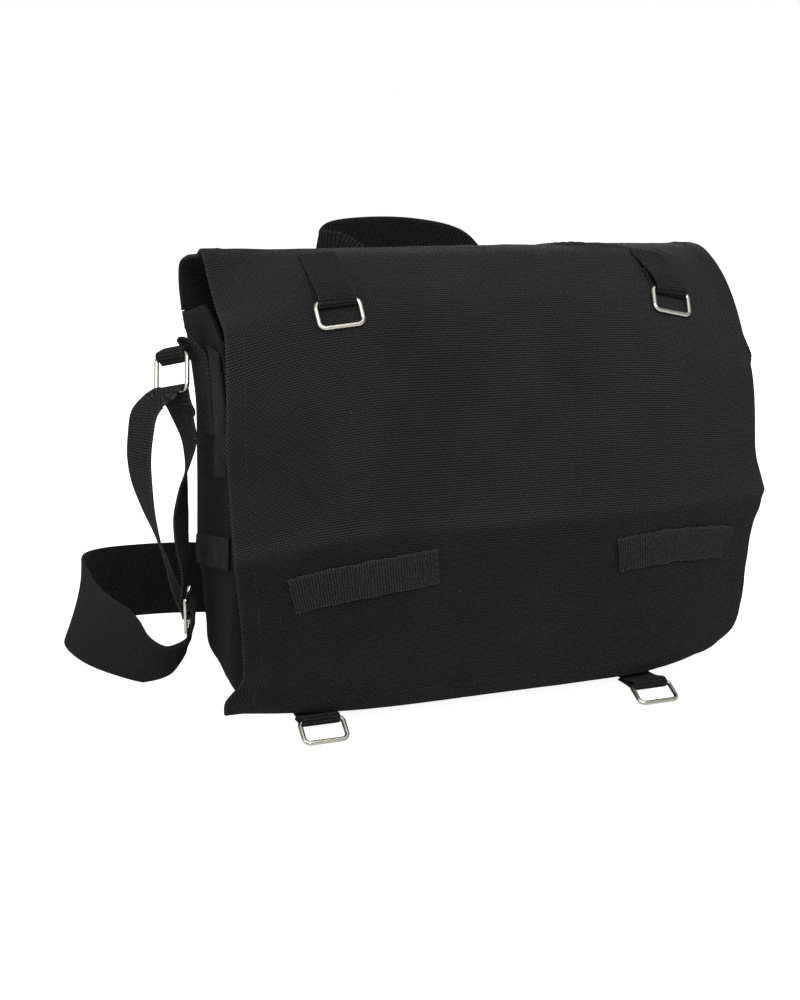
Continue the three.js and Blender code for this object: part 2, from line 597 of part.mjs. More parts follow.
// Loops of webbing sewn across the flap at both ends, standing off it a little in the middle.
function flapLoop(name, side, drop, rise) {
  const shares = [-0.5, -0.38, -0.2, 0, 0.2, 0.38, 0.5];
  const stops = shares.map((share) => {
    const lift = WEB_SEAT + LOOP_ARCH * smooth(0.5 - Math.abs(share), 0.12, 0.4);
    const place = onFlap(side * (LOOP_SPACING / 2) + share * LOOP_LENGTH, drop - share * rise, lift);
    const tilt = -rise / LOOP_LENGTH;
    return { at: place.at, across: place.fall.addScaledVector(place.over, -tilt), width: LOOP_WIDTH };
  });
  addMesh("flap_loop_" + name, ribbon(stops, WEB_THICKNESS, 2), webbing);
}

flapLoop("left", LEFT, LOOP_DROP_LEFT, LOOP_RISE_LEFT);
flapLoop("right", RIGHT, LOOP_DROP_RIGHT, LOOP_RISE_RIGHT);

// Value of a grid's third coordinate over the place where its first two, named in keys, are a and b.
function surfaceAt(grid, keys, value, a, b) {
  const solve = (p, q, r) => {
    const [first, second] = keys;
    const toQ = [q[first] - p[first], q[second] - p[second]];
    const toR = [r[first] - p[first], r[second] - p[second]];
    const toPlace = [a - p[first], b - p[second]];
    const det = toQ[0] * toR[1] - toR[0] * toQ[1];
    const s = (toPlace[0] * toR[1] - toR[0] * toPlace[1]) / det;
    const t = (toQ[0] * toPlace[1] - toPlace[0] * toQ[1]) / det;
    const inside = Math.min(s, t, 1 - s - t) > -1e-6;
    return inside ? p[value] + s * (q[value] - p[value]) + t * (r[value] - p[value]) : null;
  };
  for (let i = 0; i < grid.length - 1; i++) {
    for (let j = 0; j < grid[i].length - 1; j++) {
      const far = grid[i + 1][j + 1];
      const found = solve(grid[i][j], grid[i][j + 1], far) ?? solve(grid[i][j], far, grid[i + 1][j]);
      if (found !== null) {
        return found;
      }
    }
  }
  return null;
}

const half = (stations.length - 1) / 2;
const sideGrid = { [LEFT]: gussetOuter.slice(0, half - 6), [RIGHT]: gussetOuter.slice(half + 7) };
const sideX = (side, y, z) => surfaceAt(sideGrid[side], ["y", "z"], "x", y, z);
const backY = (x, z) => surfaceAt(backFace, ["x", "z"], "y", x, z);

// Carry handle: both ends sewn flat to the back, the loop between them standing on edge behind the ridge.
function handle() {
  const sewn = (side) => [0, 0.3, 0.6, 0.9].map((share) => {
    const x = (side * HANDLE_SPACING) / 2;
    const z = BACK_RIM - CLOTH - HANDLE_SEWN * (1 - share);
    const seat = Math.max(backY(x - HANDLE_WIDTH / 2, z), backY(x, z), backY(x + HANDLE_WIDTH / 2, z));
    const lift = WEB_SEAT + 3 * GAP * share;
    return { at: vec(x, seat + lift, z), across: vec(-side, 0, 0), width: HANDLE_WIDTH };
  });
  const loop = HANDLE_ROUTE.map((row) => ({
    at: vec(row.x * HALF_WIDTH, row.y * HALF_DEPTH, row.z * BAG_HEIGHT),
    across: vec(...row.across),
    width: HANDLE_WIDTH,
  }));
  const stops = [...sewn(LEFT), ...loop, ...sewn(RIGHT).reverse()];
  addMesh("carry_handle", ribbon(stops, WEB_THICKNESS, 2), webbing);
}

handle();

// Rings at the bottom, on tabs that come out of the front seam and pass under the flap's hem. lower is how
// far the ring's bar hangs below the hem, and out how far it stands in front.
function bottomTab(name, x, lower, out) {
  const hem = flapPoint(x / HALF_FLAP, 1);
  hem.z = Math.min(...[-1, 0, 1].map((end) => flapPoint((x + (end * LINK_WEB_WIDTH) / 2) / HALF_FLAP, 1).z));
  const seamY = frontSeam(0) - seamOffset;
  const seamZ = BOTTOM_EDGE_RADIUS * (1 - Math.cos(degrees(EDGE_ANGLES[0])));
  const bar = vec(x, hem.y - out, hem.z - lower);
  const under = hem.z - lower / 4 - 3 * GAP - WEB_THICKNESS;
  const beneath = under - WEB_THICKNESS - 3 * GAP;
  const places = [
    vec(x, seamY + GAP, seamZ - 1.5 * GAP - WEB_THICKNESS / 2),
    vec(x, mix(seamY, hem.y, 0.18), mix(seamZ, under, 0.7)),
    vec(x, mix(seamY, hem.y, 0.5), under - GAP),
    vec(x, hem.y + WEB_THICKNESS, under),
  ];
  [90, 45, 0, -45, -90].forEach((angle) => {
    const turn = degrees(angle);
    places.push(vec(x, bar.y - FOLD_RADIUS * Math.cos(turn), bar.z + FOLD_RADIUS * Math.sin(turn)));
  });
  places.push(vec(x, hem.y + WEB_THICKNESS, beneath));
  places.push(vec(x, mix(seamY, hem.y, 0.6), beneath - GAP));
  const stops = places.map((at) => ({ at, across: vec(1, 0, 0), width: LINK_WEB_WIDTH }));
  addMesh("bottom_tab_" + name, ribbon(stops, WEB_THICKNESS, 2), webbing);
  const loop = wireLoop(RING_WIDTH, RING_HEIGHT, RING_WIRE, RING_CORNER);
  const ring = addMesh("bottom_ring_" + name, loop, plating);
  const drop = bar.z - RING_WIRE / 2 - GAP;
  const slope = Math.sqrt((RING_HEIGHT - RING_WIRE) ** 2 - drop ** 2);
  hangLoop(ring, bar, vec(1, 0, 0), vec(0, -slope, -drop), RING_HEIGHT, RING_WIRE);
}

bottomTab("left", BOTTOM_TAB_LEFT, 2, 7);
bottomTab("right", BOTTOM_TAB_RIGHT, 3.5, 10);

// Flat webbing on a side of the gusset, between two depths. low and high are its heights at the rear, and
// sloped shares of them rise towards the front.
function sidePatch(name, side, front, rear, low, high, slopes) {
  const rows = Math.ceil((high - low) / 6);
  const columns = Math.ceil((rear - front) / 9);
  const face = (lift) =>
    Array.from({ length: rows + 1 }, (_, i) =>
      Array.from({ length: columns + 1 }, (_unused, j) => {
        const y = mix(front, rear, j / columns);
        const slope = SIDE_SLOPE * mix(slopes.low, slopes.high, i / rows);
        const z = mix(low, high, i / rows) + slope * (rear - y);
        return vec(sideX(side, y, z) + side * lift, y, z);
      }),
    );
  addMesh(name, slab(face(GAP + WEB_THICKNESS), face(GAP)), webbing);
}

// Direction across the strap's webbing on a side: turn is its heading and rise its slope.
function heading(side, turn, rise) {
  return vec(-side * Math.cos(degrees(turn)), Math.sin(degrees(turn)), rise).normalize();
}

const STRAP_RING_TURN = 124;
const STRAP_RING_RISE = -0.22;
const STRAP_RING_SWING = 15;
const SLIDER_TURN = 72;
const SLIDER_SIDE = 1.081;
const SLIDER_BACK = 0.22;

function strapEnd(name, side) {
  const tabY = 0.14 * HALF_DEPTH;
  const barY = 0.34 * HALF_DEPTH;
  const barX = sideX(side, barY, STRAP_RING_LEVEL) + side * STRAP_RING_OUT;
  const bar = vec(barX, barY, STRAP_RING_LEVEL);
  const over = heading(side, STRAP_RING_TURN, STRAP_RING_RISE);
  const inward = over.clone().cross(vec(0, 0, -side)).normalize();
  const up = inward.clone().cross(over).multiplyScalar(-side).normalize();
  const round = (centre, radius, angle) => {
    const turn = degrees(angle);
    const place = centre.clone().addScaledVector(inward, radius * Math.cos(turn));
    return place.addScaledVector(up, radius * Math.sin(turn));
  };

  const tabStops = [0, 0.35, 0.7, 1].map((share) => {
    const z = STRAP_RING_LEVEL - STRAP_TAB_FREE - STRAP_TAB_SEWN * (1 - share);
    const lift = WEB_SEAT + GAP * share;
    const at = vec(sideX(side, tabY, z) + side * lift, tabY, z);
    return { at, across: vec(0, 1, 0), width: LINK_WEB_WIDTH };
  });
  const leaveX = sideX(side, tabY, STRAP_RING_LEVEL) + side * STRAP_TAB_STANDOFF;
  const leaving = vec(leaveX, tabY + STRAP_TAB_SHIFT, STRAP_RING_LEVEL - 3 * GAP);
  const arriving = bar.clone().addScaledVector(inward, 8).addScaledVector(up, FOLD_RADIUS + 1.5);
  tabStops.push({ at: leaving, across: vec(0, 1, 0).lerp(over, 0.3), width: LINK_WEB_WIDTH });
  tabStops.push({ at: arriving, across: vec(0, 1, 0).lerp(over, 0.85), width: LINK_WEB_WIDTH });
  [90, 115, 150, 180, 220, 258].forEach((angle) => {
    tabStops.push({ at: round(bar, FOLD_RADIUS, angle), across: over, width: LINK_WEB_WIDTH });
  });
  tabStops.push({ at: round(bar, 2.2 * FOLD_RADIUS, 285), across: over, width: LINK_WEB_WIDTH });
  addMesh("strap_tab_" + name, ribbon(tabStops, WEB_THICKNESS, 2), webbing);

  const loop = wireLoop(STRAP_RING_WIDTH, STRAP_RING_HEIGHT, RING_WIRE, RING_CORNER);
  const ring = addMesh("strap_ring_" + name, loop, plating);
  const down = up.clone().multiplyScalar(-Math.cos(degrees(STRAP_RING_SWING)));
  down.addScaledVector(inward, -Math.sin(degrees(STRAP_RING_SWING)));
  hangLoop(ring, bar, over, down, STRAP_RING_HEIGHT, RING_WIRE);
  const lowBar = bar.clone().addScaledVector(down, STRAP_RING_HEIGHT - RING_WIRE);

  const slider = vec(side * SLIDER_SIDE * HALF_WIDTH, SLIDER_BACK * HALF_DEPTH, SLIDER_LEVEL);
  const sliderOver = heading(side, SLIDER_TURN, 0);
  const outward = vec(side, 0, 0).addScaledVector(sliderOver, -side * sliderOver.x).normalize();
  const web = WEB_THICKNESS;
  const plate = SLIDER_PLATE / 2;
  const threaded = (lift, z) => ({
    at: slider.clone().addScaledVector(outward, lift).add(vec(0, 0, z)),
    across: sliderOver,
    width: LINK_WEB_WIDTH,
  });
  const strand = (row) => ({
    at: vec(
      side * (side === LEFT ? row.x : row.rightX) * HALF_WIDTH,
      row.y * HALF_DEPTH,
      mix(SLIDER_LEVEL, lowBar.z, row.up),
    ),
    across: heading(side, row.turn, 0),
    width: LINK_WEB_WIDTH,
  });
  const beside = (towards, rise) => {
    return lowBar.clone().addScaledVector(inward, towards).addScaledVector(up, rise);
  };
  const outsideBar = plate + GAP + web / 2;
  const slot = (SLIDER_HEIGHT - SLIDER_BAR) / 4;
  const stops = [
    threaded(-outsideBar - GAP, -SLIDER_HEIGHT / 2 - 3 * GAP),
    threaded(-outsideBar - web / 2, -slot),
    threaded(-outsideBar - web - 2 * GAP, -SLIDER_BAR / 6),
    threaded(-outsideBar - web / 2 - GAP, 0.4 * slot),
    threaded(0, slot),
    threaded(outsideBar + web / 2, 1.55 * slot),
    threaded(outsideBar + 2 * GAP, SLIDER_HEIGHT / 2 - GAP),
    ...INNER_STRAND.map(strand),
    { at: beside(FOLD_RADIUS + GAP, -7), across: over, width: LINK_WEB_WIDTH },
    ...[0, 45, 90, 135].map((angle) => ({
      at: round(lowBar, FOLD_RADIUS + GAP, angle),
      across: over,
      width: LINK_WEB_WIDTH,
    })),
    { at: beside(-7, -1.5), across: over, width: LINK_WEB_WIDTH },
    ...OUTER_STRAND.map(strand),
    threaded(outsideBar + 2.2 * web, 0.8 * SLIDER_HEIGHT / 2),
    threaded(outsideBar + 1.3 * web, slot),
    threaded(outsideBar + GAP / 2, SLIDER_BAR / 4),
    threaded(0.8 * outsideBar, -0.7 * SLIDER_BAR),
    threaded(0, -SLIDER_BAR / 2 - GAP - 0.7 * web),
    threaded(-0.8 * outsideBar, -0.7 * SLIDER_BAR),
    threaded(-outsideBar - GAP / 2, 0),
  ];
  addMesh("strap_web_" + name, ribbon(stops, web, 2), webbing);

  const outline = new THREE.Shape();
  const reach = SLIDER_WIDTH / 2;
  const tall = SLIDER_HEIGHT / 2;
  const chamfer = 0.6 * SLIDER_BAR;
  outline.setFromPoints([
    new THREE.Vector2(-reach, -tall + chamfer),
    new THREE.Vector2(-reach + chamfer, -tall),
    new THREE.Vector2(reach - chamfer, -tall),
    new THREE.Vector2(reach, -tall + chamfer),
    new THREE.Vector2(reach, tall - chamfer),
    new THREE.Vector2(reach - chamfer, tall),
    new THREE.Vector2(-reach + chamfer, tall),
    new THREE.Vector2(-reach, tall - chamfer),
  ]);
  [-1, 1].forEach((row) => {
    const low = row < 0 ? -tall + SLIDER_BAR : SLIDER_BAR / 2;
    const high = row < 0 ? -SLIDER_BAR / 2 : tall - SLIDER_BAR;
    outline.holes.push(
      new THREE.Path([
        new THREE.Vector2(-reach + SLIDER_BAR, low),
        new THREE.Vector2(-reach + SLIDER_BAR, high),
        new THREE.Vector2(reach - SLIDER_BAR, high),
        new THREE.Vector2(reach - SLIDER_BAR, low),
      ]),
    );
  });
  const frame = new THREE.ExtrudeGeometry(outline, { depth: SLIDER_PLATE, bevelEnabled: false });
  frame.translate(0, 0, -SLIDER_PLATE / 2);
  const buckle = addMesh("strap_slider_" + name, frame, plating);
  const facing = sliderOver.clone().cross(vec(0, 0, 1));
  buckle.setRotationFromMatrix(new THREE.Matrix4().makeBasis(sliderOver, vec(0, 0, 1), facing));
  buckle.position.copy(slider);

  const webRear = tabY - LINK_WEB_WIDTH / 2 - 2;
  const webHigh = RIM_HEIGHT - (side === LEFT ? SIDE_WEB_DROP : SIDE_WEB_DROP_RIGHT);
  const webFront = webRear - SIDE_WEB_WIDTH;
  const webSlopes = { low: 1, high: 0 };
  sidePatch("side_webbing_" + name, side, webFront, webRear, SIDE_WEB_LOW, webHigh, webSlopes);
  const bandHalf = SIDE_BAND_LENGTH / 2;
  const bandHigh = SIDE_BAND_LOW + SIDE_BAND_WIDTH;
  const bandSlopes = { low: 1, high: 1 };
  sidePatch("side_band_" + name, side, -bandHalf, bandHalf, SIDE_BAND_LOW, bandHigh, bandSlopes);
}

strapEnd("left", LEFT);
strapEnd("right", RIGHT);

const strapStops = STRAP_ROUTE.map((row) => ({
  at: vec(row.x * HALF_WIDTH, row.y * HALF_DEPTH, row.z * STRAP_WIDTH),
  across: vec(...row.across),
  width: row.wide * STRAP_WIDTH,
}));
addMesh("strap_wide", ribbon(strapStops, WEB_THICKNESS, 2), webbing);

export default bag;
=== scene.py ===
# Dressed model of a black canvas shoulder bag. Lengths are millimetres until a mesh is made, which is in metres.
import math

import bpy
import numpy as np
from mathutils import Matrix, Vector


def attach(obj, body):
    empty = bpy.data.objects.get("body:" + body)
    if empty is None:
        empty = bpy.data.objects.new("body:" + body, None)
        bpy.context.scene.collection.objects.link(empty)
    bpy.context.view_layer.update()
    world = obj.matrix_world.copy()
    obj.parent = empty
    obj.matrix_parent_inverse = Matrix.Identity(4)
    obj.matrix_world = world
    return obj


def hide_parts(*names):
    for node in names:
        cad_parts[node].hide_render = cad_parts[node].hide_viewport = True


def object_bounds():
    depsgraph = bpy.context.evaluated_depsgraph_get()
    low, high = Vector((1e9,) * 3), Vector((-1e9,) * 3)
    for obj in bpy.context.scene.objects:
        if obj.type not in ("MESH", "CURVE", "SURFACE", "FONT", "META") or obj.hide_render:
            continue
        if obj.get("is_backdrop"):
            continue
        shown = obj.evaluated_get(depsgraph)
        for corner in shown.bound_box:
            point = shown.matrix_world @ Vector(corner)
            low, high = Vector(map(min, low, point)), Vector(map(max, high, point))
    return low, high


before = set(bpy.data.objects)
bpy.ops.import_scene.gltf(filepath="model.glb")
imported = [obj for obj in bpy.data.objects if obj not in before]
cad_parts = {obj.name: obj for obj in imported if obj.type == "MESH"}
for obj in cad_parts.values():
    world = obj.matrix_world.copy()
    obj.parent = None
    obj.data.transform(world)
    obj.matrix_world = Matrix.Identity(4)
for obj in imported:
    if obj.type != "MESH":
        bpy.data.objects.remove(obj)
CAD_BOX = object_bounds()

# Sizes, as in the solids
HALF_WIDTH, HALF_DEPTH, RIM_HEIGHT = 190.0, 59.0, 266.0
CLOTH, GAP, SEAM_OFFSET = 2.0, 0.3, 2.3
BOTTOM_EDGE, SIDE_EDGE, RIM_EDGE = 22.0, 9.0, 3.0
FRONT_BULGE, BACK_BULGE = 21.0, 5.0
HALF_FLAP, BAG_HEIGHT = 193.0, 304.0
WEB, LINK_WIDTH = 1.8, 25.0
WIRE, RING_WIDTH, RING_HEIGHT, RING_CORNER = 3.2, 32.0, 20.0, 4.0
WEB_SEAT = GAP + WEB / 2
BAR_LIFT = GAP + WEB + GAP + WIRE / 2
FOLD_RADIUS = WIRE / 2 + GAP + WEB / 2
LEFT, RIGHT = -1, 1

GUSSET_RUN = [
    (0, 0), (0.32, 0), (0.63, 0), (0.79, 0.006), (0.885, 0.026), (0.955, 0.062), (0.99, 0.115), (1.0, 0.2),
    (0.998, 0.36), (0.989, 0.56), (0.987, 0.76), (1.0, 0.9), (1.016, 1.0),
]
CORNER_ROW = 4
RIM_Y = [-1.0, -0.75, -0.35, 0.0, 0.5, 1.0]
RIM_RISE = {
    LEFT: [-0.085, -0.045, 0.0, 0.012, -0.01, -0.026],
    RIGHT: [-0.2, -0.13, -0.035, -0.018, -0.018, -0.026],
}
# Flap rows: y, z, left x, left y, left z, right x, right y, right z
FLAP_ROWS = [
    (1.12, 0.921, 1.005, 1.15, 0.914, 0.975, 1.12, 0.921),
    (1.02, 0.967, 1.005, 1.09, 0.957, 0.975, 1.02, 0.967),
    (0.75, 0.99, 1.0, 0.81, 0.977, 0.975, 0.75, 0.992),
    (0.34, 0.996, 0.995, 0.37, 0.984, 0.975, 0.34, 0.99),
    (0.0, 1.0, 1.0, 0.03, 0.998, 0.96, -0.03, 0.967),
    (-0.37, 0.988, 1.0, -0.34, 0.934, 0.96, -0.31, 0.928),
    (-0.71, 0.947, 1.0, -0.64, 0.885, 0.96, -0.56, 0.872),
    (-1.02, 0.888, 1.0, -0.98, 0.842, 0.96, -0.83, 0.79),
    (-1.24, 0.806, 1.012, -1.19, 0.74, 0.97, -0.99, 0.714),
    (-1.39, 0.674, 1.022, -1.27, 0.609, 0.97, -1.1, 0.625),
    (-1.51, 0.543, 1.02, -1.36, 0.493, 0.97, -1.17, 0.526),
    (-1.61, 0.43, 1.02, -1.47, 0.388, 0.985, -1.3, 0.438),
    (-1.6, 0.345, 1.008, -1.46, 0.312, 0.97, -1.2, 0.362),
    (-1.58, 0.247, 0.995, -1.42, 0.214, 0.97, -1.1, 0.26),
    (-1.56, 0.148, 0.995, -1.41, 0.125, 0.96, -1.1, 0.17),
    (-1.54, 0.076, 1.003, -1.34, 0.067, 0.94, -1.06, 0.1),
    (-1.5, 0.043, 1.012, -1.16, 0.05, 0.89, -1, 0.062),
]
RIDGE_ROW, FOLD_ROW = 5, 12
EDGE_ZONE = {LEFT: 0.42, RIGHT: 0.36}
# Carry handle: x, y, z, direction across
HANDLE_ROUTE = [
    (-0.345, 1.25, 0.925, (0.94, -0.22, 0.26)), (-0.4, 1.4, 0.96, (0.6, -0.4, 0.7)),
    (-0.455, 1.62, 0.964, (0.12, -0.34, 0.93)), (-0.385, 1.84, 0.983, (0, -0.25, 0.97)),
    (-0.21, 1.95, 0.993, (0, -0.25, 0.97)), (-0.02, 1.93, 0.988, (0, -0.25, 0.97)),
    (0.12, 1.78, 0.968, (0, -0.28, 0.96)), (0.2, 1.66, 0.925, (-0.2, -0.3, 0.93)),
    (0.28, 1.54, 0.9, (-0.6, -0.3, 0.74)), (0.325, 1.34, 0.88, (-0.94, -0.2, 0.26)),
]
# Shoulder strap: x, y, z, width share, direction across
STRAP_WIDTH = 57.0
STRAP_ROUTE = [
    (-1.074, 0.236, 0.817, 0.44, (-0.32, -0.95, 0)), (-1.078, 0.236, 0.74, 0.46, (-0.32, -0.93, 0.1)),
    (-1.094, 0.25, 0.67, 0.5, (-0.3, -0.88, 0.35)), (-1.13, 0.3, 0.57, 0.6, (-0.2, -0.8, 0.56)),
    (-1.18, 0.43, 0.51, 0.78, (-0.05, -0.62, 0.78)), (-1.242, 0.74, 0.5, 1, (0, -0.33, 0.94)),
    (-1.311, 1.22, 0.505, 1, (0.1, -0.2, 0.97)), (-1.363, 1.83, 0.5, 1, (0.3, -0.05, 0.95)),
    (-1.379, 2.46, 0.5, 1, (0.4, 0, 0.92)), (-1.337, 3.02, 0.53, 1, (0.2, 0.2, 0.95)),
    (-1.232, 3.34, 0.55, 1, (-0.1, 0.3, 0.94)), (-1.084, 3.36, 0.56, 1, (-0.25, 0.3, 0.92)),
    (-0.921, 3.29, 0.56, 1, (-0.2, 0.25, 0.94)), (-0.763, 3.19, 0.54, 1, (-0.1, 0.15, 0.98)),
    (-0.53, 3.08, 0.515, 1, (0, 0.05, 1)), (0, 3.02, 0.51, 1, (0, 0, 1)), (0.53, 3.02, 0.51, 1, (0, 0, 1)),
    (0.79, 2.92, 0.51, 1, (0, 0, 1)), (0.974, 2.54, 0.51, 1, (0, 0, 1)), (1.08, 1.95, 0.51, 1, (0, 0, 1)),
    (1.126, 1.36, 0.51, 1, (0, 0, 1)), (1.132, 0.88, 0.52, 1, (0, 0.2, 0.98)),
    (1.12, 0.56, 0.54, 0.8, (0.05, 0.48, 0.85)), (1.104, 0.38, 0.6, 0.62, (0.12, 0.75, 0.62)),
    (1.088, 0.28, 0.675, 0.5, (0.25, 0.88, 0.4)), (1.078, 0.24, 0.74, 0.46, (0.32, 0.93, 0.1)),
    (1.074, 0.236, 0.825, 0.44, (0.32, 0.95, 0)),
]
# Narrow strap strands: x, y, share of the way up, heading
INNER_STRAND = [
    (1.084, 0.25, 0.18, 66), (1.09, 0.3, 0.3, 59), (1.088, 0.34, 0.43, 55), (1.075, 0.36, 0.56, 66),
    (1.058, 0.36, 0.68, 84), (1.055, 0.34, 0.79, 104), (1.08, 0.32, 0.9, 118),
]
OUTER_STRAND = [
    (1.18, 0.17, 0.965, 124, 1.165), (1.218, 0.11, 0.92, 122, 1.172), (1.238, 0.05, 0.83, 119, 1.176),
    (1.247, 0.03, 0.73, 117, 1.176), (1.241, 0.04, 0.62, 112, 1.174), (1.222, 0.07, 0.5, 99, 1.17),
    (1.192, 0.1, 0.37, 86, 1.158), (1.158, 0.14, 0.24, 80, 1.144), (1.138, 0.18, 0.15, 75, 1.134),
]
STRAP_RING_SWING = math.radians(15)
CORNER_ROUND = 9.0


# Arithmetic
def vec(x, y, z):
    return np.array((x, y, z), float)


def unit(v):
    return v / np.linalg.norm(v)


def mix(a, b, t):
    return a + (b - a) * t


def smooth(value, low, high):
    t = np.clip((value - low) / (high - low), 0, 1)
    return t * t * (3 - 2 * t)


def bump(value, centre, width):
    return np.exp(-(((value - centre) / width) ** 2))


class Curve:
    """Centripetal Catmull-Rom curve through points."""

    def __init__(self, points):
        self.points = np.array(points, float)

    def at(self, t):
        pts, last = self.points, len(self.points) - 1
        place = last * t
        k = min(int(place), last - 1)
        w = place - k
        x1, x2 = pts[k], pts[k + 1]
        x0 = pts[k - 1] if k > 0 else 2 * pts[0] - pts[1]
        x3 = pts[k + 2] if k + 2 <= last else 2 * pts[last] - pts[last - 1]
        d0, d1, d2 = (max(float(np.dot(b - a, b - a)) ** 0.25, 1e-4) for a, b in ((x0, x1), (x1, x2), (x2, x3)))
        t1 = ((x1 - x0) / d0 - (x2 - x0) / (d0 + d1) + (x2 - x1) / d1) * d1
        t2 = ((x2 - x1) / d1 - (x3 - x1) / (d1 + d2) + (x3 - x2) / d2) * d1
        return x1 + w * (t1 + w * ((-3 * x1 + 3 * x2 - 2 * t1 - t2) + w * (2 * x1 - 2 * x2 + t1 + t2)))

    def heading(self, t):
        return unit(self.at(min(t + 1e-4, 1)) - self.at(max(t - 1e-4, 0)))


def noise(u, v, seed):
    """Smooth noise from -1 to 1 over two coordinates, with cells one unit wide."""
    table = np.random.default_rng(seed).uniform(-1, 1, (64, 64))
    iu, iv = np.floor(u).astype(int), np.floor(v).astype(int)
    fu, fv = smooth(u - iu, 0, 1), smooth(v - iv, 0, 1)
    corner = lambda a, b: table[(iu + a) % 64, (iv + b) % 64]
    return mix(mix(corner(0, 0), corner(1, 0), fu), mix(corner(0, 1), corner(1, 1), fu), fv)


def grid_normals(grid):
    down = np.empty_like(grid)
    over = np.empty_like(grid)
    down[1:-1] = grid[2:] - grid[:-2]
    down[0], down[-1] = grid[1] - grid[0], grid[-1] - grid[-2]
    over[:, 1:-1] = grid[:, 2:] - grid[:, :-2]
    over[:, 0], over[:, -1] = grid[:, 1] - grid[:, 0], grid[:, -1] - grid[:, -2]
    n = np.cross(down, over)
    return n / np.maximum(np.linalg.norm(n, axis=2, keepdims=True), 1e-9)


# Meshes
def piece(name, points, faces, material, slot, replaced=(), lay=None, wear_and_light=None, sharp=40):
    """Mesh object of points in millimetres, riding on the bag."""
    mesh = bpy.data.meshes.new(name)
    mesh.from_pydata((np.asarray(points) * 0.001).tolist(), [], np.asarray(faces).tolist() if isinstance(faces, np.ndarray) else faces)
    mesh.update()
    if lay is not None:
        mesh.attributes.new("lay", "FLOAT_VECTOR", "POINT").data.foreach_set("vector", np.asarray(lay, float).ravel())
    if wear_and_light is not None:
        mesh.attributes.new("wear_and_light", "FLOAT", "POINT").data.foreach_set("value", np.asarray(wear_and_light, float).ravel())
    mesh.materials.append(material)
    mesh.polygons.foreach_set("use_smooth", [True] * len(mesh.polygons))
    mesh.set_sharp_from_angle(angle=math.radians(sharp))
    obj = bpy.data.objects.new(name, mesh)
    bpy.context.scene.collection.objects.link(obj)
    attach(obj, "root")
    if replaced:
        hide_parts(*replaced)
    return obj


def slab_faces(rows, columns):
    at = lambda side, i, j: (side * rows + i) * columns + j
    i, j = np.meshgrid(np.arange(rows - 1), np.arange(columns - 1), indexing="ij")
    top = np.stack([at(0, i, j), at(0, i, j + 1), at(0, i + 1, j + 1), at(0, i + 1, j)], -1).reshape(-1, 4)
    low = np.stack([at(1, i, j), at(1, i + 1, j), at(1, i + 1, j + 1), at(1, i, j + 1)], -1).reshape(-1, 4)
    k = np.arange(rows - 1)
    start = np.stack([at(0, k, 0), at(0, k + 1, 0), at(1, k + 1, 0), at(1, k, 0)], -1)
    last = columns - 1
    end = np.stack([at(0, k, last), at(1, k, last), at(1, k + 1, last), at(0, k + 1, last)], -1)
    k = np.arange(columns - 1)
    first = np.stack([at(0, 0, k), at(1, 0, k), at(1, 0, k + 1), at(0, 0, k + 1)], -1)
    foot = rows - 1
    final = np.stack([at(0, foot, k), at(0, foot, k + 1), at(1, foot, k + 1), at(1, foot, k)], -1)
    return np.concatenate([top, low, start, end, first, final])


def outward(points, faces):
    """Faces turned so that the closed mesh has its outside out."""
    p = np.asarray(points)
    f = np.asarray(faces)
    a, b, c, d = (p[f[:, k]] for k in range(4))
    volume = np.einsum("ij,ij->i", a, np.cross(b, c)).sum() + np.einsum("ij,ij->i", a, np.cross(c, d)).sum()
    return f if volume > 0 else f[:, ::-1]


def slab(name, outer, inner, lay, material, slot, replaced=(), wear_and_light=None, sharp=40):
    """Closed sheet between two matching grids of points."""
    rows, columns = outer.shape[:2]
    points = np.concatenate([outer.reshape(-1, 3), inner.reshape(-1, 3)])
    faces = outward(points, slab_faces(rows, columns))
    lays = np.concatenate([lay.reshape(-1, 3)] * 2)
    wears_and_light = None if wear_and_light is None else np.concatenate([wear_and_light.ravel()] * 2)
    return piece(name, points, faces, material, slot, replaced, lays, wears_and_light, sharp)


def join_parts(parts):
    """Points and faces of several (points, faces) parts as one."""
    points, faces, base = [], [], 0
    for p, f in parts:
        points.append(np.asarray(p))
        faces += [[k + base for k in face] for face in f]
        base += len(p)
    return np.concatenate(points), faces


def tube(path, radius, sides=6, taper=0.55):
    """Round thread along points, with its ends drawn in."""
    path = np.asarray(path, float)
    count = len(path)
    points, faces = [], []
    heading = np.gradient(path, axis=0)
    side = unit(np.cross(heading[0], vec(0.31, 0.57, 0.76)))
    for k in range(count):
        ahead = unit(heading[k])
        side = unit(side - ahead * np.dot(side, ahead))
        rise = np.cross(ahead, side)
        r = radius * (taper if k in (0, count - 1) else 1)
        for s in range(sides):
            turn = 2 * math.pi * s / sides
            points.append(path[k] + r * (side * math.cos(turn) + rise * math.sin(turn)))
    for k in range(count - 1):
        for s in range(sides):
            n = (s + 1) % sides
            faces.append([k * sides + s, k * sides + n, (k + 1) * sides + n, (k + 1) * sides + s])
    faces.append(list(range(sides))[::-1])
    faces.append([(count - 1) * sides + s for s in range(sides)])
    return points, faces


def stitches(line, normals, length=3.0, pitch=4.1, radius=0.32, lift=0.12):
    """Thread stitches along a line on a surface, each dipping in at its ends."""
    line, normals = np.asarray(line, float), np.asarray(normals, float)
    reach = np.concatenate([[0], np.cumsum(np.linalg.norm(np.diff(line, axis=0), axis=1))])
    parts = []
    at = lambda s: vec(*(np.interp(s, reach, line[:, k]) for k in range(3)))
    up = lambda s: unit(vec(*(np.interp(s, reach, normals[:, k]) for k in range(3))))
    for start in np.arange(0.5, reach[-1] - length, pitch):
        path = [at(start + length * share) + up(start) * rise for share, rise in
                ((0, -0.3), (0.18, lift * 0.7), (0.5, lift), (0.82, lift * 0.7), (1, -0.3))]
        parts.append(tube(path, radius, 5))
    return parts


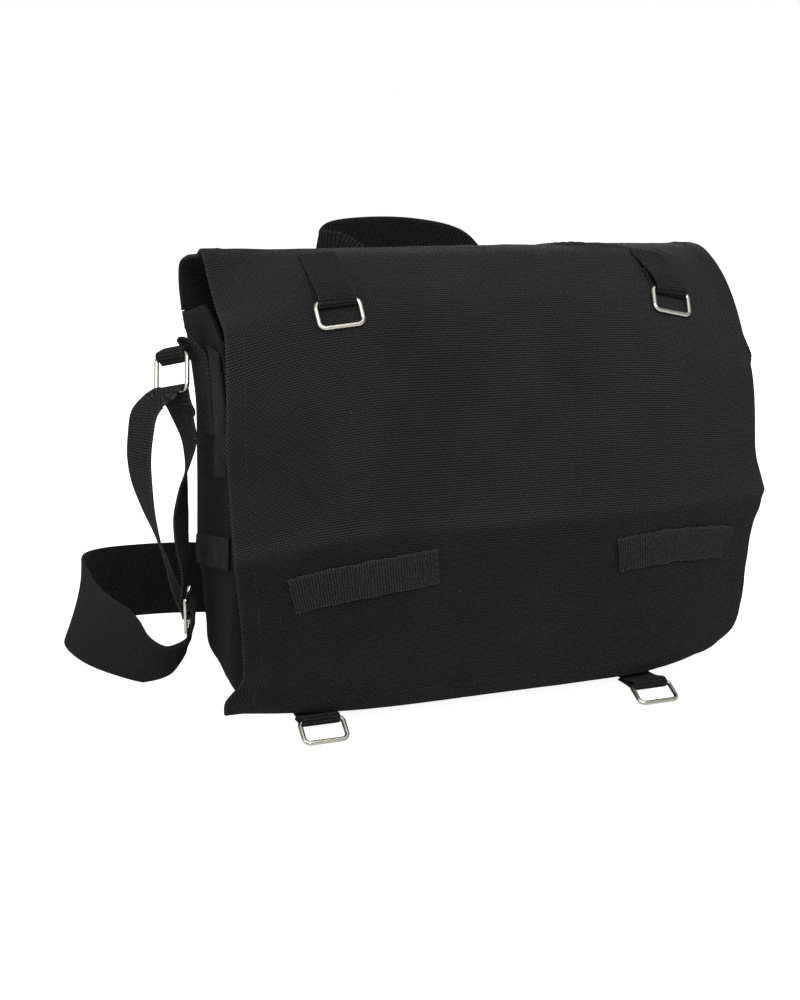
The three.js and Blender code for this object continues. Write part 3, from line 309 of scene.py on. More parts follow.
# Materials
def nodes_of(name):
    material = bpy.data.materials.new(name)
    material.use_nodes = True
    tree = material.node_tree
    shader = tree.nodes["Principled BSDF"]
    return material, tree, shader


class Chain:
    """Short names for making shader nodes."""

    def __init__(self, tree):
        self.tree = tree

    def node(self, kind, **values):
        made = self.tree.nodes.new(kind)
        for key, value in values.items():
            setattr(made, key, value)
        return made

    def link(self, source, target):
        self.tree.links.new(source, target)

    def math(self, operation, a, b=None, clamp=False):
        made = self.node("ShaderNodeMath", operation=operation, use_clamp=clamp)
        for k, value in enumerate((a, b)):
            if value is None:
                continue
            if isinstance(value, (int, float)):
                made.inputs[k].default_value = value
            else:
                self.link(value, made.inputs[k])
        return made.outputs[0]

    def noise(self, vector, scale, detail=2.0, rough=0.5):
        made = self.node("ShaderNodeTexNoise")
        self.link(vector, made.inputs["Vector"])
        made.inputs["Scale"].default_value = scale
        made.inputs["Detail"].default_value = detail
        made.inputs["Roughness"].default_value = rough
        return made.outputs[0]

    def scaled(self, vector, x, y, z):
        made = self.node("ShaderNodeVectorMath", operation="MULTIPLY")
        self.link(vector, made.inputs[0])
        made.inputs[1].default_value = (x, y, z)
        return made.outputs[0]

    def blend(self, factor, a, b):
        made = self.node("ShaderNodeMix", data_type="RGBA")
        self.link(factor, made.inputs[0]) if not isinstance(factor, float) else None
        for k, value in ((6, a), (7, b)):
            if isinstance(value, tuple):
                made.inputs[k].default_value = (*value, 1)
            else:
                self.link(value, made.inputs[k])
        return made.outputs[2]


def grey(value, warm=0.0):
    return (value * (1 + warm), value, value * (1 - warm))


def cloth_material(name, kind, dark, light, strength, rough=0.92, sheen=0.25, specks=0.5):
    """Woven black cotton. The weave follows the cloth's own lay, in metres across and along."""
    material, tree, shader = nodes_of(name)
    c = Chain(tree)
    lay = c.node("ShaderNodeAttribute", attribute_name="lay").outputs["Vector"]
    wear_and_light = c.node("ShaderNodeAttribute", attribute_name="wear_and_light").outputs["Fac"]
    place = c.node("ShaderNodeTexCoord").outputs["Object"]
    waver = c.noise(place, 160, 2)
    split = c.node("ShaderNodeSeparateXYZ")
    c.link(lay, split.inputs[0])
    shift = c.math("MULTIPLY", c.math("SUBTRACT", waver, 0.5), 0.0007)
    u = c.math("ADD", split.outputs[0], shift)
    v = c.math("ADD", split.outputs[1], shift)
    if kind == "canvas":
        row = c.math("FLOOR", c.math("MULTIPLY", v, 1 / 0.0016))
        stepped = c.math("ADD", u, c.math("MULTIPLY", row, 0.0008))
        across = c.math("ABSOLUTE", c.math("SINE", c.math("MULTIPLY", stepped, math.pi / 0.0016)))
        down = c.math("ABSOLUTE", c.math("SINE", c.math("MULTIPLY", v, math.pi / 0.0016)))
        height = c.math("MULTIPLY", across, down)
        slub = c.noise(c.scaled(lay, 260, 1400, 1), 1.0, 1)
        slub2 = c.noise(c.scaled(lay, 1300, 240, 1), 1.0, 1)
        slubs = c.math("MULTIPLY", c.math("ADD", slub, slub2), 0.7)
        relief = c.math("MULTIPLY", height, c.math("ADD", slubs, 0.25))
        distance = 0.0009
    else:
        rib = c.math("ABSOLUTE", c.math("SINE", c.math("MULTIPLY", v, math.pi / 0.00185)))
        column = c.math("ABSOLUTE", c.math("SINE", c.math("MULTIPLY", u, math.pi / 0.0021)))
        low = c.math("POWER", rib, 0.8)
        height = c.math("MULTIPLY", low, c.math("ADD", c.math("MULTIPLY", column, 0.15), 0.85))
        slub = c.noise(c.scaled(lay, 110, 1500, 1), 1.0, 2)
        grain = c.math("ADD", c.math("MULTIPLY", c.noise(place, 750, 2), 2.6), -0.3)
        relief = c.math("MULTIPLY", height, c.math("MULTIPLY", c.math("ADD", slub, 0.4), grain))
        distance = 0.0007
    fluff = c.noise(place, 2400, 2)
    total = c.math("ADD", relief, c.math("MULTIPLY", fluff, 0.25))
    relief_node = c.node("ShaderNodeBump")
    relief_node.inputs["Strength"].default_value = strength
    relief_node.inputs["Distance"].default_value = distance
    c.link(total, relief_node.inputs["Height"])
    c.link(relief_node.outputs[0], shader.inputs["Normal"])
    mottle = c.noise(place, 34, 5, 0.65)
    cloud = c.math("MULTIPLY", c.math("SUBTRACT", mottle, 0.5), 0.6)
    tone = c.math("ADD", c.math("MULTIPLY", relief, 0.95), c.math("SUBTRACT", cloud, 0.06), clamp=True)
    colour = c.blend(tone, dark, light)
    # Paler colour where the mesh's rubbing attribute is high: real wear at hems and edges, and painted light on the
    # flap and gusset
    worn_and_lit = tuple(min(1.0, x * 2.6) for x in light)
    raised = c.math("POWER", relief, 1.5)
    rubbed_and_lit = c.math("MULTIPLY", wear_and_light, c.math("ADD", c.math("MULTIPLY", raised, 1.5), 0.03), clamp=True)
    colour = c.blend(rubbed_and_lit, colour, worn_and_lit)
    lint = c.node("ShaderNodeTexVoronoi")
    c.link(place, lint.inputs["Vector"])
    lint.inputs["Scale"].default_value = 160
    chosen = c.node("ShaderNodeSeparateColor")
    c.link(lint.outputs["Color"], chosen.inputs[0])
    near = c.math("LESS_THAN", lint.outputs["Distance"], 0.09)
    rare = c.math("LESS_THAN", chosen.outputs[0], 0.05)
    speck = c.math("MULTIPLY", c.math("MULTIPLY", near, rare), specks)
    colour = c.blend(speck, colour, grey(0.16))
    c.link(colour, shader.inputs["Base Color"])
    dull = c.math("ADD", c.math("MULTIPLY", c.math("SUBTRACT", mottle, 0.5), 0.12), rough, clamp=True)
    c.link(dull, shader.inputs["Roughness"])
    shader.inputs["Specular IOR Level"].default_value = 0.12
    shader.inputs["Sheen Weight"].default_value = sheen
    shader.inputs["Sheen Roughness"].default_value = 0.5
    shader.inputs["Sheen Tint"].default_value = (0.6, 0.6, 0.62, 1)
    return material


def wire_material():
    """Plated steel wire with a pale warm tint, smudges and fine scratches."""
    material, tree, shader = nodes_of("plated_wire")
    c = Chain(tree)
    place = c.node("ShaderNodeTexCoord").outputs["Object"]
    smudge = c.noise(place, 260, 4, 0.6)
    scratch = c.noise(c.scaled(place, 400, 4200, 4200), 1.0, 2)
    colour = c.blend(smudge, (0.86, 0.83, 0.73), (0.70, 0.66, 0.55))
    c.link(colour, shader.inputs["Base Color"])
    rough = c.math("ADD", c.math("MULTIPLY", smudge, 0.22), 0.08)
    c.link(rough, shader.inputs["Roughness"])
    shader.inputs["Metallic"].default_value = 1.0
    fine = c.node("ShaderNodeBump")
    fine.inputs["Strength"].default_value = 0.12
    fine.inputs["Distance"].default_value = 0.0002
    c.link(scratch, fine.inputs["Height"])
    c.link(fine.outputs[0], shader.inputs["Normal"])
    return material


def thread_material():
    """Twisted black sewing thread."""
    material, tree, shader = nodes_of("thread")
    c = Chain(tree)
    place = c.node("ShaderNodeTexCoord").outputs["Object"]
    twist = c.noise(place, 1800, 2)
    c.link(c.blend(twist, grey(0.008), grey(0.045)), shader.inputs["Base Color"])
    fine = c.node("ShaderNodeBump")
    fine.inputs["Strength"].default_value = 0.5
    fine.inputs["Distance"].default_value = 0.0002
    c.link(twist, fine.inputs["Height"])
    c.link(fine.outputs[0], shader.inputs["Normal"])
    shader.inputs["Roughness"].default_value = 0.85
    shader.inputs["Specular IOR Level"].default_value = 0.15
    return material


CANVAS = cloth_material("canvas_weave", "canvas", grey(0.0008), grey(0.024), 1.0, sheen=0.08, specks=0.3)
# Painted shade: a darker copy of the same canvas for the side gusset, which faces away from the lamps
CANVAS_SHADED_SIDE = cloth_material("canvas_weave_shaded_side", "canvas", grey(0.0015), grey(0.018), 1.0, sheen=0.05, specks=0.3)
WEBBING = cloth_material("webbing_ribs", "webbing", grey(0.0015), grey(0.018), 1.0, sheen=0.05, specks=0.25)
CHROME = wire_material()
THREAD = thread_material()


# Webbing
def ribbon_rows(stops, steps, columns=10, thickness=WEB, ease=3):
    """Middle line, across, lift and half widths of webbing along stops of place, direction across and width."""
    curve = Curve([s[0] for s in stops])
    spans = len(stops) - 1
    count = spans * steps
    middle = np.array([curve.at(k / count) for k in range(count + 1)])
    ahead = np.array([curve.heading(k / count) for k in range(count + 1)])
    over, half = [], []
    for k in range(count + 1):
        stop = min(k // steps, spans - 1)
        share = k / steps - stop
        over.append(mix(np.array(stops[stop][1], float), np.array(stops[stop + 1][1], float), share))
        half.append(mix(stops[stop][2], stops[stop + 1][2], share) / 2)
    over, half = np.array(over), np.array(half)
    for _ in range(ease):
        over[1:-1] = (over[:-2] + 2 * over[1:-1] + over[2:]) / 4
    over -= ahead * np.sum(over * ahead, axis=1, keepdims=True)
    over /= np.linalg.norm(over, axis=1, keepdims=True)
    return middle, ahead, over, np.cross(ahead, over), half


def ribbon(name, stops, steps=6, columns=10, thickness=WEB, replaced=(), material=None, cup=0.0, wear_and_light=0.35, ragged=0.0, seed=3):
    """Closed strip of webbing with rounded edges. Returns the piece and its top and under grids."""
    middle, ahead, over, lift, half = ribbon_rows(stops, steps)
    inner = np.linspace(-1, 1, columns + 1)
    shares = np.concatenate([[-1, -0.985, -0.95], inner[1:-1], [0.95, 0.985, 1]])
    shares = np.unique(np.round(shares, 4))
    edge = np.sqrt(np.clip(1 - smooth(np.abs(shares), 0.93, 1.0) ** 2 * 0.85, 0.1, 1))
    ends = np.zeros(len(middle))
    if ragged:
        run = np.arange(len(middle)) * 1.7
        ends = ragged * noise(run, run * 0 + 0.5, seed)
    side = middle[:, None] + over[:, None] * (half[:, None, None] * shares[None, :, None])
    side = side + over[:, None] * (ends[:, None, None] * (np.abs(shares) > 0.9)[None, :, None] * np.sign(shares)[None, :, None])
    bow = cup * (shares**2 - 0.33)
    up = lift[:, None] * (edge[None, :, None] * thickness / 2)
    curl = lift[:, None] * bow[None, :, None]
    top, under = side + up + curl, side - up + curl
    run = np.concatenate([[0], np.cumsum(np.linalg.norm(np.diff(middle, axis=0), axis=1))])
    lay = np.zeros(top.shape)
    lay[..., 0] = (half[:, None] * shares[None, :]) * 0.001
    lay[..., 1] = run[:, None] * 0.001
    rub = wear_and_light * (0.35 + 0.65 * smooth(np.abs(shares), 0.8, 1.0))[None, :] * np.ones((len(middle), 1))
    obj = slab(name, top, under, lay, material or WEBBING, "webbing", replaced, rub, 50)
    return obj, top, under, (middle, ahead, over, lift, half, run)


def lines_on(top, rows, share):
    """Line along a strip's face at a share of the way across, over a range of its rows."""
    columns = top.shape[1] - 1
    place = (share + 1) / 2 * columns
    k = min(int(place), columns - 1)
    return mix(top[rows, k], top[rows, k + 1], place - k)


def wire_loop(width, height, wire, corner):
    """Rounded rectangle of wire in its own plane, centred on the origin."""
    corner_steps, sides, long_steps = 8, 14, 5
    radius = corner - wire / 2
    path = []
    for x, y, start in ((1, 1, 0), (-1, 1, 90), (-1, -1, 180), (1, -1, 270)):
        for k in range(corner_steps + 1):
            turn = math.radians(start + 90 * k / corner_steps)
            path.append((x * (width / 2 - corner), y * (height / 2 - corner), turn))
    points, faces = [], []
    dense = []
    for k in range(len(path)):
        a, b = path[k], path[(k + 1) % len(path)]
        dense.append(a)
        if (k + 1) % (corner_steps + 1) == 0:
            for s in range(1, long_steps):
                share = s / long_steps
                dense.append((mix(a[0], b[0], share), mix(a[1], b[1], share), a[2]))
    for x, y, turn in dense:
        for s in range(sides):
            spin = 2 * math.pi * s / sides
            reach = radius + wire / 2 * math.cos(spin)
            points.append((x + reach * math.cos(turn), y + reach * math.sin(turn), wire / 2 * math.sin(spin)))
    count = len(dense)
    for k in range(count):
        for s in range(sides):
            n, m = (k + 1) % count, (s + 1) % sides
            faces.append([k * sides + s, n * sides + s, n * sides + m, k * sides + m])
    return np.array(points), faces


def ring(name, bar, across, down, width, height, replaced):
    """Wire loop with its upper bar centred on bar."""
    side = unit(across)
    fall = unit(down - side * np.dot(down, side))
    facing = np.cross(side, fall)
    points, faces = wire_loop(width, height, WIRE, 1.4 * RING_CORNER)
    centre = bar + fall * (height - WIRE) / 2
    placed = centre + points[:, :1] * side + points[:, 1:2] * fall + points[:, 2:3] * facing
    return piece(name, placed, outward(placed, faces), CHROME, "plated_wire", replaced, sharp=60)


# Body
def edge_radius(z):
    low = mix(BOTTOM_EDGE, SIDE_EDGE, smooth(z, 0.06 * RIM_HEIGHT, 0.3 * RIM_HEIGHT))
    return mix(low, RIM_EDGE, smooth(z, 0.75 * RIM_HEIGHT, RIM_HEIGHT))


def front_seam(z):
    return -HALF_DEPTH * (0.97 - 0.13 * smooth(z, 0.5 * RIM_HEIGHT, 0.85 * RIM_HEIGHT))


def rear_seam(z):
    return HALF_DEPTH * (1.01 + 0.08 * smooth(z, 0.3 * RIM_HEIGHT, 0.95 * RIM_HEIGHT))


def gusset_fold(y, z):
    line = mix(-0.68, 0.3, np.clip((z / RIM_HEIGHT - 0.1) / 0.23, 0, 1)) * HALF_DEPTH
    start = smooth(z, 0.08 * RIM_HEIGHT, 0.16 * RIM_HEIGHT)
    end = smooth(z, 0.27 * RIM_HEIGHT, 0.34 * RIM_HEIGHT)
    return 3 * (start - end) * smooth(y, line - 0.05 * HALF_DEPTH, line + 0.25 * HALF_DEPTH)


def gusset_fill(x, y, z):
    outer = smooth(abs(x), 0.8 * HALF_WIDTH, 0.94 * HALF_WIDTH)
    low = 1 - smooth(z, 0.08 * RIM_HEIGHT, 0.32 * RIM_HEIGHT)
    return 3.5 * outer * low * smooth(-y, -0.4 * HALF_DEPTH, 0.6 * HALF_DEPTH)


RUN_STEPS = 9
EDGE_TURNS = np.array([80, 72, 63, 54, 45, 36, 27, 18, 9, 0], float)
FLAT_COUNT = 22


def gusset_grid():
    right = [vec(x * HALF_WIDTH, 0, z * RIM_HEIGHT) for x, z in GUSSET_RUN]
    left = [p * (-1, 1, 1) for p in right[1:][::-1]]
    curve = Curve(left + right)
    count = (len(left) + len(right) - 1) * RUN_STEPS
    grid, outs = [], []
    for k in range(count + 1):
        point, ahead = curve.at(k / count), curve.heading(k / count)
        point[2] = max(point[2], 0)
        out = vec(ahead[2], 0, -ahead[0])
        radius = edge_radius(point[2])
        reach = radius * math.sin(math.radians(EDGE_TURNS[0]))
        front, rear = front_seam(point[2]), rear_seam(point[2])
        turns = np.radians(EDGE_TURNS)
        ys = list(front + reach - radius * np.sin(turns))
        insets = list(radius * (1 - np.cos(turns)))
        flat = np.linspace(front + reach, rear - reach, FLAT_COUNT + 2)[1:-1]
        ys += list(flat) + list((rear - reach + radius * np.sin(turns))[::-1])
        insets += [0] * FLAT_COUNT + list((radius * (1 - np.cos(turns)))[::-1])
        side = -1 if point[0] < 0 else 1
        upper = smooth(point[2], 0.6 * RIM_HEIGHT, RIM_HEIGHT)
        row = []
        for y, inset in zip(ys, insets):
            rise = RIM_HEIGHT * np.interp(y / HALF_DEPTH, RIM_Y, RIM_RISE[side])
            place = vec(point[0], y, point[2] + upper * rise)
            place += out * (gusset_fill(point[0], y, point[2]) - gusset_fold(y, point[2]) - inset)
            row.append(place)
        grid.append(row)
        outs.append([out] * len(row))
    return np.array(grid), np.array(outs)


gusset_outer, gusset_out = gusset_grid()
ROWS, COLUMNS = gusset_outer.shape[:2]


def arc(points, axis):
    """Running length of a grid along an axis, in metres, averaged over the other one."""
    steps = np.linalg.norm(np.diff(points, axis=axis), axis=2).mean(axis=1 - axis)
    return np.concatenate([[0], np.cumsum(steps)]) * 0.001


def lay_of(points):
    lay = np.zeros(points.shape)
    over = arc(points, 1)
    lay[..., 0] = (over - over[-1] / 2)[None, :]
    lay[..., 1] = arc(points, 0)[:, None]
    return lay


def dress_gusset():
    lay = lay_of(gusset_outer)
    u, v = lay[..., 0] * 1000, lay[..., 1] * 1000
    slack = 0.5 + 0.5 * noise(u / 26, v / 34, 11)
    creases = 0.5 + 0.5 * noise(u / 9 + v / 60, v / 22, 12)
    depth = 0.55 * slack + 0.35 * creases * smooth(np.abs(gusset_outer[..., 0]), 150, 185)
    span = np.minimum(v, v[-1:] - v)
    hem = 1 - smooth(span, 11.5, 12.8)
    face = gusset_outer - gusset_out * (depth * (1 - hem))[..., None] + gusset_out * (0.35 * hem)[..., None]
    normals = grid_normals(face)
    wear_and_light = 0.55 * bump(span, 0, 2.5) + 0.12 * slack
    # Painted light and shade: paler where the crease noise is high on the lower gusset, for the lit crown of the soft
    # diagonal fold and the shade down in its folds
    wear_and_light = wear_and_light + 0.18 * (1 - hem) * creases * (gusset_outer[..., 2] < 120)
    # The gusset takes the darker canvas copy, its painted shade
    slab("gusset_canvas", face, face + normals * CLOTH, lay, CANVAS_SHADED_SIDE, "canvas", ["gusset"], wear_and_light, 50)
    parts = []
    for rows in (slice(0, ROWS // 2), slice(ROWS // 2, ROWS)):
        pass
    for end in (0, ROWS - 1):
        row = int(np.argmin(np.abs(span[:, COLUMNS // 2] - 10) + 1e3 * (np.abs(np.arange(ROWS) - end) > ROWS // 3)))
        for line in (row,):
            parts += stitches(face[line, 6:-6], -normals[line, 6:-6])
    return face, normals, parts


gusset_face, gusset_normals, body_stitches = dress_gusset()


def panel_grid(column, seam_side, bulge, top_line):
    seam = gusset_outer[:, column]
    corner = (len(GUSSET_RUN) - 1 - CORNER_ROW) * RUN_STEPS
    last = len(seam) - 1
    columns = last - 2 * corner
    grid = np.zeros((corner + 1, columns + 1, 3))
    for i in range(corner + 1):
        v = i / corner
        left, right = seam[corner - i], seam[last - corner + i]
        for j in range(columns + 1):
            u = j / columns
            place = seam[corner + j] * (1 - v) + top_line(seam[0], seam[last], u) * v
            place = place + left * (1 - u) + right * u
            place = place - seam[corner] * (1 - u) * (1 - v) - seam[last - corner] * u * (1 - v)
            place = place - top_line(seam[0], seam[last], 0) * (1 - u) * v - top_line(seam[0], seam[last], 1) * u * v
            spread = 1 - abs(2 * u - 1) ** 3
            place[1] += seam_side * (SEAM_OFFSET + bulge * spread * math.sin(math.pi * v**0.7))
            grid[i, j] = place
    return grid


BACK_RIM = RIM_HEIGHT * (1 - 0.026)


def front_top(start, end, u):
    return mix(start, end, u) + vec(0, 0, 8 * math.sin(math.pi * u))


def back_top(start, end, u):
    point = mix(start, end, u)
    point[2] = BACK_RIM
    return point


front_grid = panel_grid(0, -1, FRONT_BULGE, front_top)
back_grid = panel_grid(-1, 1, BACK_BULGE, back_top)


def finer(grid, times):
    """The same surface with more points, by cubic interpolation between its rows and columns."""
    def along_rows(g):
        padded = np.concatenate([2 * g[:1] - g[1:2], g, 2 * g[-1:] - g[-2:-1]])
        out = []
        for k in range(len(g) - 1):
            p0, p1, p2, p3 = padded[k:k + 4]
            for s in range(times):
                t = s / times
                out.append(0.5 * (2 * p1 + (p2 - p0) * t + (2 * p0 - 5 * p1 + 4 * p2 - p3) * t * t + (3 * p1 - p0 - 3 * p2 + p3) * t**3))
        out.append(g[-1])
        return np.array(out)
    return along_rows(along_rows(grid).transpose(1, 0, 2)).transpose(1, 0, 2)


def dress_panel(name, grid, side, seed):
    """Panel with soft waves, a hemmed top edge and a row of stitches beside its seams."""
    fine = finer(grid, 2)
    lay = lay_of(fine)
    u, v = lay[..., 0] * 1000, lay[..., 1] * 1000
    rim = np.minimum(np.minimum(v, v[-1:] - v), np.minimum(u - u[:, :1], u[:, -1:] - u))
    wave = 0.7 * noise(u / 55, v / 55, seed) + 0.3 * noise(u / 17, v / 24, seed + 1)
    sink = (0.75 - 0.75 * wave) * smooth(rim, 2, 20)
    pucker = 0.3 * (0.5 + 0.5 * np.sin(u / 2.9 + v / 3.3 + 2 * noise(u / 8, v / 8, seed + 2))) * bump(rim, 5, 3.5)
    face = fine.copy()
    face[..., 1] -= side * (sink + pucker)
    inner = face.copy()
    inner[..., 1] -= side * CLOTH
    wear_and_light = 0.5 * bump(rim, 0, 1.6) + 0.1 * (0.5 + 0.5 * wave)
    slab(name + "_canvas", face, inner, lay, CANVAS, "canvas", [name], wear_and_light, 50)
    normals = grid_normals(face)
    normals = normals if normals[len(normals) // 2, 5, 1] * side > 0 else -normals
    inset = 2
    parts = []
    for line in (face[:, inset], face[:, -1 - inset], face[inset], face[-4]):
        keep = slice(4, -4)
        normal = np.tile(vec(0, side, 0), (len(line), 1))
        parts += stitches(line[keep], normal[keep], length=3.1, pitch=4.2)
    return face, parts


front_face, more = dress_panel("front_panel", front_grid, -1, 21)
body_stitches += more
back_face, more = dress_panel("back_panel", back_grid, 1, 31)
body_stitches += more

# Flap
back_top_y = rear_seam(BACK_RIM) + SEAM_OFFSET
FLAP_START = (back_top_y, BACK_RIM + GAP)
middle_points = [vec(0, *FLAP_START)] + [vec(0, r[0] * HALF_DEPTH, r[1] * BAG_HEIGHT) for r in FLAP_ROWS]
left_points = [vec(-HALF_FLAP, *FLAP_START)]
left_points += [vec(-r[2] * HALF_FLAP, r[3] * HALF_DEPTH, r[4] * BAG_HEIGHT) for r in FLAP_ROWS]
right_points = [vec(0.975 * HALF_FLAP, *FLAP_START)]
right_points += [vec(r[5] * HALF_FLAP, r[6] * HALF_DEPTH, r[7] * BAG_HEIGHT) for r in FLAP_ROWS]
FLAP_CURVES = {0: Curve(middle_points), LEFT: Curve(left_points), RIGHT: Curve(right_points)}
FLAP_SPANS = len(FLAP_ROWS)
RIDGE = RIDGE_ROW / FLAP_SPANS


def flap_from(across, middle, left, right):
    """Points of the flap's nominal face at places across, from the three curves' points at one place down."""
    across = np.atleast_1d(across)
    edge = np.where((across < 0)[:, None], left, right)
    zone = np.where(across < 0, EDGE_ZONE[LEFT], EDGE_ZONE[RIGHT])
    reach = np.abs(across)
    pull = (np.maximum(reach - zone, 0) / (1 - zone)) ** 2
    return np.stack([reach * edge[:, 0], mix(middle[1], edge[:, 1], pull), mix(middle[2], edge[:, 2], pull)], -1)


def flap_point(across, down):
    return flap_from(across, *(FLAP_CURVES[k].at(down) for k in (0, LEFT, RIGHT)))[0]


FINE = 400
TRACK = [tuple(FLAP_CURVES[k].at(min(max(RIDGE + step / FINE, 0), 1)) for k in (0, LEFT, RIGHT))
         for step in range(-1, int((1 - RIDGE) * FINE) + 3)]


def on_flap(x, length, lift):
    """Place on the flap at x, a length of cloth below the ridge, lifted off it, with its directions and place down."""
    across = x / (HALF_FLAP if x < 0 else 0.975 * HALF_FLAP)
    track = np.array([flap_from(across, *row)[0] for row in TRACK])
    reach = np.concatenate([[0], np.cumsum(np.linalg.norm(np.diff(track[1:], axis=0), axis=1))])
    k = min(int(np.searchsorted(reach, length)), len(reach) - 3) + 1
    point = track[k]
    fall = unit(track[k + 1] - track[k - 1])
    over = unit(flap_from(across + 0.01, *TRACK[k])[0] - flap_from(across - 0.01, *TRACK[k])[0])
    out = unit(np.cross(fall, over))
    return {"at": point + out * lift, "fall": fall, "over": over, "out": out, "down": RIDGE + (k - 1) / FINE, "across": across}


TAB_X, TAB_START = 121.0, 18.0
TAB_LENGTH = {LEFT: 48.0, RIGHT: 42.0}
LOOP_X, LOOP_LENGTH, LOOP_WIDTH, LOOP_ARCH = 113.0, 96.0, 24.0, 1.2
LOOP_DROP, LOOP_RISE = {LEFT: 242.0, RIGHT: 236.0}, {LEFT: 5.0, RIGHT: 16.0}


def flap_relief(u, v, depth, fold):
    """How far the flap's face stands off its nominal one: u from its middle, v below the ridge, depth to its edges, fold below the fold."""
    hem = 1 - smooth(depth, 12.2, 13.6)
    waves = 0.55 * noise(u / 62 + 3, v / 50, 41) + 0.26 * noise(u / 21, v / 25, 42) + 0.1 * noise(u / 7, v / 7, 43)
    pucker = 0.32 * np.sin(v / 3.1 + 3 * noise(u / 12, v / 14, 44)) * bump(depth, 12.5, 5) * (np.abs(u) > 150)
    relief = waves + pucker
    # Small wrinkles where the flap turns over the ridge
    for x, y, tilt, long, wide, tall in (
        (70, -2, 0.5, 20, 2.6, 1.2), (86, 3, 0.35, 24, 2.4, 1.4), (101, -1, 0.75, 18, 2.8, 1.1),
        (112, 8, 0.2, 26, 3.0, 0.7), (-60, 2, -0.3, 26, 3.4, 0.5), (-20, 5, 0.2, 30, 4.0, 0.5),
        (150, 10, 1.0, 22, 3.2, 0.7), (30, -4, -0.2, 22, 3.0, 0.5),
    ):
        a, b = u - x, v - y
        run = a * math.cos(tilt) + b * math.sin(tilt)
        off = -a * math.sin(tilt) + b * math.cos(tilt)
        relief = relief + tall * np.exp(-((run / long) ** 2) - (off / wide) ** 2)
    # Longer drapes that fall from the tabs and lean towards the sides
    for x, y, tilt, long, wide, tall in (
        (-150, 90, 1.35, 60, 7, 1.0), (160, 110, 1.7, 70, 8, 1.1), (-30, 150, 1.2, 80, 16, 0.8), (60, 170, 1.9, 70, 14, 0.8),
    ):
        a, b = u - x, v - y
        run = a * math.cos(tilt) + b * math.sin(tilt)
        off = -a * math.sin(tilt) + b * math.cos(tilt)
        relief = relief + tall * np.exp(-((run / long) ** 2) - (off / wide) ** 2)
    # Shallow creases below the fold and a soft crown along it
    relief = relief + 1.0 * bump(fold, -3, 5) - 1.1 * bump(fold, 5, 5) + 0.22 * noise(u / 30, fold / 6, 45) * smooth(fold, -4, 8)
    # Nothing stands proud under what is sewn on
    calm = np.zeros_like(u)
    for side in (LEFT, RIGHT):
        tab = smooth(22 - np.abs(u - side * TAB_X), 0, 6) * smooth(v, TAB_START - 12, TAB_START - 4)
        calm = np.maximum(calm, tab * (1 - smooth(v, TAB_START + TAB_LENGTH[side] + 24, TAB_START + TAB_LENGTH[side] + 32)))
        centre = LOOP_DROP[side] - LOOP_RISE[side] * (u - side * LOOP_X) / LOOP_LENGTH
        loop = smooth(56 - np.abs(u - side * LOOP_X), 0, 6) * smooth(20 - np.abs(v - centre), 0, 6)
        calm = np.maximum(calm, loop)
    relief = mix(relief, np.minimum(relief, 0) * 0.5, calm)
    return relief + 0.45 * hem * (1 - calm), hem, calm


def flap_surface():
    spacing = 2.3
    samples = [FLAP_CURVES[0].at(k / 900) for k in range(901)]
    reach = np.concatenate([[0], np.cumsum(np.linalg.norm(np.diff(samples, axis=0), axis=1))])
    total = reach[-1]
    rows = int(total / spacing)
    edge = np.array([0, 0.35, 0.9, 1.8])
    lengths = np.concatenate([edge, np.linspace(3.5, total - 3.5, rows), total - edge[::-1]])
    downs = np.interp(lengths, reach, np.linspace(0, 1, 901))
    width = np.concatenate([edge, np.linspace(3.5, 2 * HALF_FLAP - 3.5, int(2 * HALF_FLAP / spacing)), 2 * HALF_FLAP - edge[::-1]])
    across = width / HALF_FLAP - 1
    grid = np.array([flap_from(across, *(FLAP_CURVES[k].at(down) for k in (0, LEFT, RIGHT))) for down in downs])
    return grid, downs, across, lengths, total, reach


flap_grid, flap_downs, flap_across, flap_lengths, flap_total, flap_reach = flap_surface()
RIDGE_LENGTH = float(np.interp(RIDGE, np.linspace(0, 1, 901), flap_reach))
FOLD_LENGTH = float(np.interp(FOLD_ROW / FLAP_SPANS, np.linspace(0, 1, 901), flap_reach))


